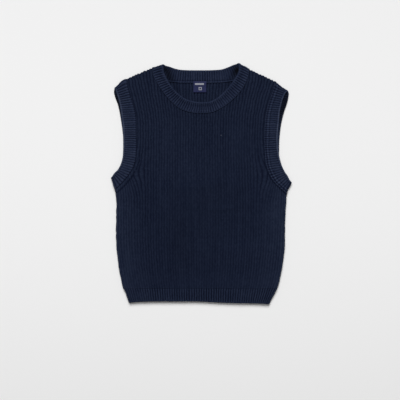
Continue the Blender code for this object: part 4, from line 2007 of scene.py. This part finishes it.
@dataclass
class NeckLabel(Piece):
    """The woven label inside the back neck, with a plain bar and a plain square."""

    left: float = -17.0
    right: float = 10.5
    top: float = 221.0
    bottom: float = 197.5
    flat: tuple[float, float] = (0.0275, 0.0235)
    lanes: int = 24
    curl: float = 0.5           # at its loose lower corners
    band_ends: float = 216.0    # it comes down from the neckband to the panel between these
    panel_starts: float = 208.0
    rim_share: float = 0.45     # how thick its rim is, as a share of its wall
    rim_reach: float = 0.6
    sharp: float = 60.0         # degrees between faces, past which their edge shows
    thread_foot: float = 0.355  # the raised satin's foot and top, over the label's middle
    thread_top: float = 0.725
    thread_bevel: float = 0.12
    bar: Slab = Slab(-13.85, 213.2, 19.3, 3.8)
    square: Slab = Slab(-5.95, 202.0, 6.8, 6.8)
    square_thread: float = 1.7

    def height(self, x: Array, y: Array) -> Array:
        """The height of the label's middle, with a slight curl at its loose lower corners.

        Args:
            x: Where it is asked for.
            y: Where it is asked for.

        Returns:
            The heights.
        """
        down = np.clip((self.band_ends - y) / (self.band_ends - self.panel_starts), 0.0, 1.0)
        ground = BAND_WALL + (PANEL_WALL - BAND_WALL) * down
        across = np.abs(x - (self.left + self.right) / 2) / ((self.right - self.left) / 2)
        lower = np.clip((self.top - y) / (self.top - self.bottom), 0.0, 1.0)
        return ground + LABEL_GAP + LABEL_WALL / 2 + self.curl * across**3 * lower**2

    def build(self, shop: Workshop) -> list[bpy.types.Object]:
        """Builds the label, its bar and its square.

        Args:
            shop: The trees and finishes.

        Returns:
            All three.
        """
        label = self.cloth(shop)
        marks = self.marks(shop)
        self.place(label, self.flat, None, ("back_knit",), marks)
        for mark in marks:
            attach(mark, BODY)
        return [label, *marks]

    def cloth(self, shop: Workshop) -> bpy.types.Object:
        """The label's cloth: two faces of a square grid, and a thinner rim between them.

        Args:
            shop: The trees and finishes.

        Returns:
            The cloth.
        """
        u = np.linspace(0.0, 1.0, self.lanes + 1)
        x, y = np.meshgrid(self.left + (self.right - self.left) * u,
                           self.bottom + (self.top - self.bottom) * u)
        middle = np.stack([x, y, self.height(x, y)], axis=-1).reshape(-1, 3)
        rim = np.minimum(np.minimum(x - self.left, self.right - x),
                         np.minimum(y - self.bottom, self.top - y)).reshape(-1)
        share = self.rim_share + (1 - self.rim_share) * ramp(rim, 0.0, self.rim_reach)
        half = np.column_stack([np.zeros((len(share), 2)), LABEL_WALL / 2 * share])
        numbers = np.arange(len(share)).reshape(x.shape)
        quads = (numbers[:-1, :-1], numbers[:-1, 1:], numbers[1:, 1:], numbers[1:, :-1])
        faces = np.stack(quads, axis=-1).reshape(-1, 4).tolist()
        under = len(share)
        faces += [[under + n for n in reversed(face)] for face in list(faces)]
        border = [*numbers[0, :-1], *numbers[:-1, -1], *numbers[-1, :0:-1], *numbers[:0:-1, 0]]
        border = [int(n) for n in border]
        for a, b in zip(border, border[1:] + border[:1]):
            faces.append([b, a, under + a, under + b])
        places = np.vstack([middle + half, middle - half])
        return self.mesh("woven_label", places, faces, shop.material(LABEL_FINISH))

    def mesh(self, name: str, places: Array, faces: list[list[int]],
             material: bpy.types.Material) -> bpy.types.Object:
        """Makes a piece of the label.

        Args:
            name: Its name.
            places: Its points.
            faces: Its faces, as numbers of points.
            material: Its material.

        Returns:
            The object.
        """
        mesh = new_mesh(name, places, [], faces)
        mesh.shade_smooth()
        mesh.set_sharp_from_angle(angle=math.radians(self.sharp))
        mesh.materials.append(material)
        return new_object(name, mesh)

    def raised(self, slab: Slab) -> Array:
        """The eight corners of a slab of raised satin.

        Args:
            slab: The slab.

        Returns:
            The corners, the lower four first.
        """
        corners = []
        for level, inset in ((self.thread_foot, 0.0), (self.thread_top, self.thread_bevel)):
            for sx, sy in ((0, 0), (1, 0), (1, 1), (0, 1)):
                x = slab.x + slab.width * sx + inset * (1 - 2 * sx)
                y = slab.y + slab.height * sy + inset * (1 - 2 * sy)
                corners.append((x, y, float(self.height(np.array(x), np.array(y))) + level))
        return np.array(corners)

    def marks(self, shop: Workshop) -> list[bpy.types.Object]:
        """A bar and a small square ring, in pale thread.

        Args:
            shop: The trees and finishes.

        Returns:
            The bar and the ring.
        """
        x, y, side, _ = self.square
        thread = self.square_thread
        short, right, high = side - 2 * thread, x + side - thread, y + side - thread
        ring = [Slab(x, y, side, thread), Slab(x, high, side, thread),
                Slab(x, y + thread, thread, short), Slab(right, y + thread, thread, short)]
        sides = ((3, 2, 1, 0), (4, 5, 6, 7), (0, 1, 5, 4), (1, 2, 6, 5), (2, 3, 7, 6), (3, 0, 4, 7))
        made = []
        for name, slabs in (("label_bar", [self.bar]), ("label_square", ring)):
            places = np.vstack([self.raised(slab) for slab in slabs])
            faces = [[start + n for n in quad] for start in range(0, len(places), 8) for quad in sides]
            made.append(self.mesh(name, places, faces, shop.material(THREAD_FINISH)))
        return made


# -------- linking


@dataclass
class Linking:
    """Linking stitches along the seam of a ring band, one bead after another."""

    name: str
    band: RingBand
    inset: float                # from the seam into the band
    pitch: float
    size: tuple[float, float, float]
    sink: float = 0.7           # of a stitch's middle, into the band's face
    # level of painted light and shade, between the finish's valleys and stitch tops
    tone: float = 0.6

    def build(self, shop: Workshop) -> list[bpy.types.Object]:
        """Builds the stitches.

        Args:
            shop: The trees and finishes.

        Returns:
            The row of stitches, alone.
        """
        ring = self.band.ring()
        seam, edge, out = ring[:, :3], ring[:, 3:6], unit(ring[:, 6:9])
        line = seam + unit(edge - seam) * self.inset + out * (self.band.wall / 2 - self.sink)
        count = len(line)
        mesh = new_mesh(self.name, line, [(i, (i + 1) % count) for i in range(count)], [])
        keep(mesh, "out", out)
        obj = new_object(self.name, mesh)
        length, width, height = self.size
        run_tree(obj, shop.chain, {
            "Pitch": self.pitch * MM,
            "Length": length * MM,
            "Width": width * MM,
            "Height": height * MM,
            "Tone": self.tone,
            "Material": shop.material(self.band.finish),
        })
        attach(obj, BODY)
        return [obj]


# -------- studio


@dataclass
class Lamp:
    """A square softbox, aimed at a point on the floor."""

    name: str
    place: tuple[float, float, float]
    aim: tuple[float, float, float]
    size: float
    power: float

    def build(self) -> None:
        """Builds the lamp."""
        light = bpy.data.lights.new(self.name, "AREA")
        light.shape = "SQUARE"
        light.size = self.size
        light.energy = self.power
        obj = new_object(self.name, light)
        obj.location = self.place
        obj.rotation_euler = (Vector(self.aim) - Vector(self.place)).to_track_quat("-Z", "Y").to_euler()


@dataclass
class Studio:
    """A pale floor, soft light from above and from the neck's side, and the camera."""

    frame_width: float = 0.86
    camera_x: float = -0.0030
    camera_y: float = -0.0336
    lens: float = 85.0
    near: float = 0.01          # the camera sees nothing closer than this
    floor_reach: float = 6.0
    floor_tone: float = 0.86
    floor_base: float = 0.9     # share of its tone far off, and the painted light added beside the garment
    floor_glow: float = 0.137
    glow_y: float = -0.08
    glow_fall: float = 1.9
    floor_roughness: float = 0.95
    floor_specular: float = 0.1
    sky: float = 0.2
    lamps: tuple[Lamp, ...] = (
        Lamp("neck_side", (-0.8, 6.5, 6.9), (0.0, 0.0, 0.0), 5.7, 980.0),
        Lamp("overhead", (0.0, 0.0, 3.4), (0.0, 0.0, 0.0), 1.6, 8.0),
    )

    def build(self) -> None:
        """Builds the studio."""
        bpy.context.scene.view_settings.view_transform = "Standard"
        self.floor()
        self.daylight()
        for lamp in self.lamps:
            lamp.build()
        self.camera()

    def paper(self) -> bpy.types.Material:
        """The floor's paper, with painted light that makes it a little brighter beside the garment.

        Returns:
            The material.
        """
        material, tree = empty_material("floor_paper")
        place = tree.add("ShaderNodeSeparateXYZ", None,
                         {0: tree.add("ShaderNodeTexCoord", None, None, "Object")})
        away = place.output("Y") - self.glow_y
        painted_pool = (away * away * -self.glow_fall).math("EXPONENT")
        tone = self.floor_tone * (self.floor_base + self.floor_glow * painted_pool)
        finish_material(tree, {
            "Base Color": tree.combine(tone, tone, tone),
            "Roughness": self.floor_roughness,
            "Specular IOR Level": self.floor_specular,
        })
        return material

    def floor(self) -> None:
        """A square of paper on the ground."""
        mesh = bpy.data.meshes.new("floor")
        r = self.floor_reach
        mesh.from_pydata([(-r, -r, 0), (r, -r, 0), (r, r, 0), (-r, r, 0)], [], [(0, 1, 2, 3)])
        mesh.materials.append(self.paper())
        new_object("floor", mesh)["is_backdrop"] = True

    def daylight(self) -> None:
        """Even white light from all round."""
        world = bpy.data.worlds.new("studio")
        world.use_nodes = True
        sky = world.node_tree.nodes["Background"].inputs
        sky["Color"].default_value = (1.0, 1.0, 1.0, 1.0)
        sky["Strength"].default_value = self.sky
        bpy.context.scene.world = world

    def camera(self) -> None:
        """The camera, which looks straight down."""
        camera = bpy.data.cameras.new("camera")
        camera.lens = self.lens
        camera.clip_start = self.near
        half = camera.sensor_width / 2 / self.lens
        view = new_object("camera", camera)
        view.location = (self.camera_x, self.camera_y, self.frame_width / 2 / half)
        bpy.context.scene.camera = view


# -------- the vest


def corners(box: tuple[Vector, Vector]) -> list[list[float]]:
    """A box as plain lists."""
    return [list(corner) for corner in box]


def vest_parts() -> list[Piece | Linking]:
    """The panels, bands, stitches and label with their sizes.

    Returns:
        The parts, in the order in which they are built.
    """
    panels = [
        Panel("back_knit", "back_panel", Slot.BODY_KNIT, Layer.BACK, NECK_BACK, PANEL_FLAT, 0.147, ()),
        Panel("front_knit", "front_panel", Slot.BODY_KNIT, Layer.FRONT, NECK_FRONT, PANEL_FLAT, 0.136,
              ("back_knit",)),
    ]
    hems = [
        HemBand(name, node, Slot.RIB_KNIT, HEM_WALL, HEM_FINISH, (0.333, 0.031), rests_on,
                outer_beads=(), inner_beads=(), seam_ease=1.0, rim_ease=0.6, rim_beads=(),
                rims=RIM_HEM, layer=layer)
        for name, node, layer, rests_on in (
            ("back_hem_rib", "back_hem_band", Layer.BACK, ()),
            ("front_hem_rib", "front_hem_band", Layer.FRONT, ("back_hem_rib",)),
        )
    ]
    neck = RingBand(
        "neck_rib", "neckband", Slot.RIB_KNIT, BAND_WALL, BAND_FINISH, (0.50, 0.0245), ("back_knit",),
        front_rows=NECK_FRONT, back_rows=NECK_BACK, pitches=NECK_PITCHES,
        outer_beads=(Bead(0.1, 1.1, -0.6), Bead(4.6, 2.0, 0.14), Bead(15.8, 2.4, -0.16)),
        inner_beads=(Bead(-0.3, 0.9, -1.0), Bead(1.9, 1.0, 0.35), Bead(4.8, 0.8, -0.7)),
        inner_calm=3.6, rim_beads=(Bead(1.1, 1.7, 0.17),),
    )
    left = RingBand(
        "armhole_rib_left", "armhole_band_left", Slot.RIB_KNIT, BAND_WALL, ARM_FINISH, (0.45, 0.027),
        ("back_knit",), front_rows=ARM_LEFT, back_rows=ARM_LEFT, pitches=ARM_PITCHES,
        outer_beads=(Bead(0.0, 0.9, -0.75), Bead(4.4, 1.6, 0.13)), rims=RIM_LEFT, rim_reach=4.4,
        rim_beads=(Bead(0.3, 1.2, 0.2), Bead(2.9, 0.9, -0.25)),
    )
    right = RingBand(
        "armhole_rib_right", "armhole_band_right", Slot.RIB_KNIT, BAND_WALL, ARM_FINISH,
        (0.463, 0.0285), ("back_knit",), front_rows=ARM_RIGHT, back_rows=ARM_RIGHT,
        pitches=ARM_PITCHES, seam_ease=0.7, outer_calm=1.0,
        outer_beads=(Bead(0.5, 1.6, -0.02), Bead(3.1, 1.1, -0.5), Bead(6.9, 1.3, 0.38),
                     Bead(9.8, 1.0, -0.38)),
        low_beads=(Bead(0.9, 1.6, 0.2), Bead(4.1, 0.9, -0.35)), rims=RIM_RIGHT,
        rim_beads=(Bead(0.3, 1.2, 0.2), Bead(2.9, 0.9, -0.3)),
    )
    linking = Linking("neck_linking", neck, 0.9, 2.6, (2.9, 1.7, 1.3))
    label = NeckLabel("woven_label", "neck_label", Slot.LABEL_WEAVE)
    return [*panels, *hems, neck, left, right, linking, label]


def main() -> None:
    """Builds the studio and every piece of the vest, and reports each piece."""
    logging.basicConfig(level=logging.INFO, format="%(name)s: %(message)s")
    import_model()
    frame_box = corners(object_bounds())
    Studio().build()
    shop = Workshop()
    for part in vest_parts():
        for piece in part.build(shop):
            piece.data.calc_loop_triangles()
            log.info("%s: %d triangles", piece.name, len(piece.data.loop_triangles))
    {"frame": frame_box, "visual": corners(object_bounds())}


if __name__ == "__main__":
    main()
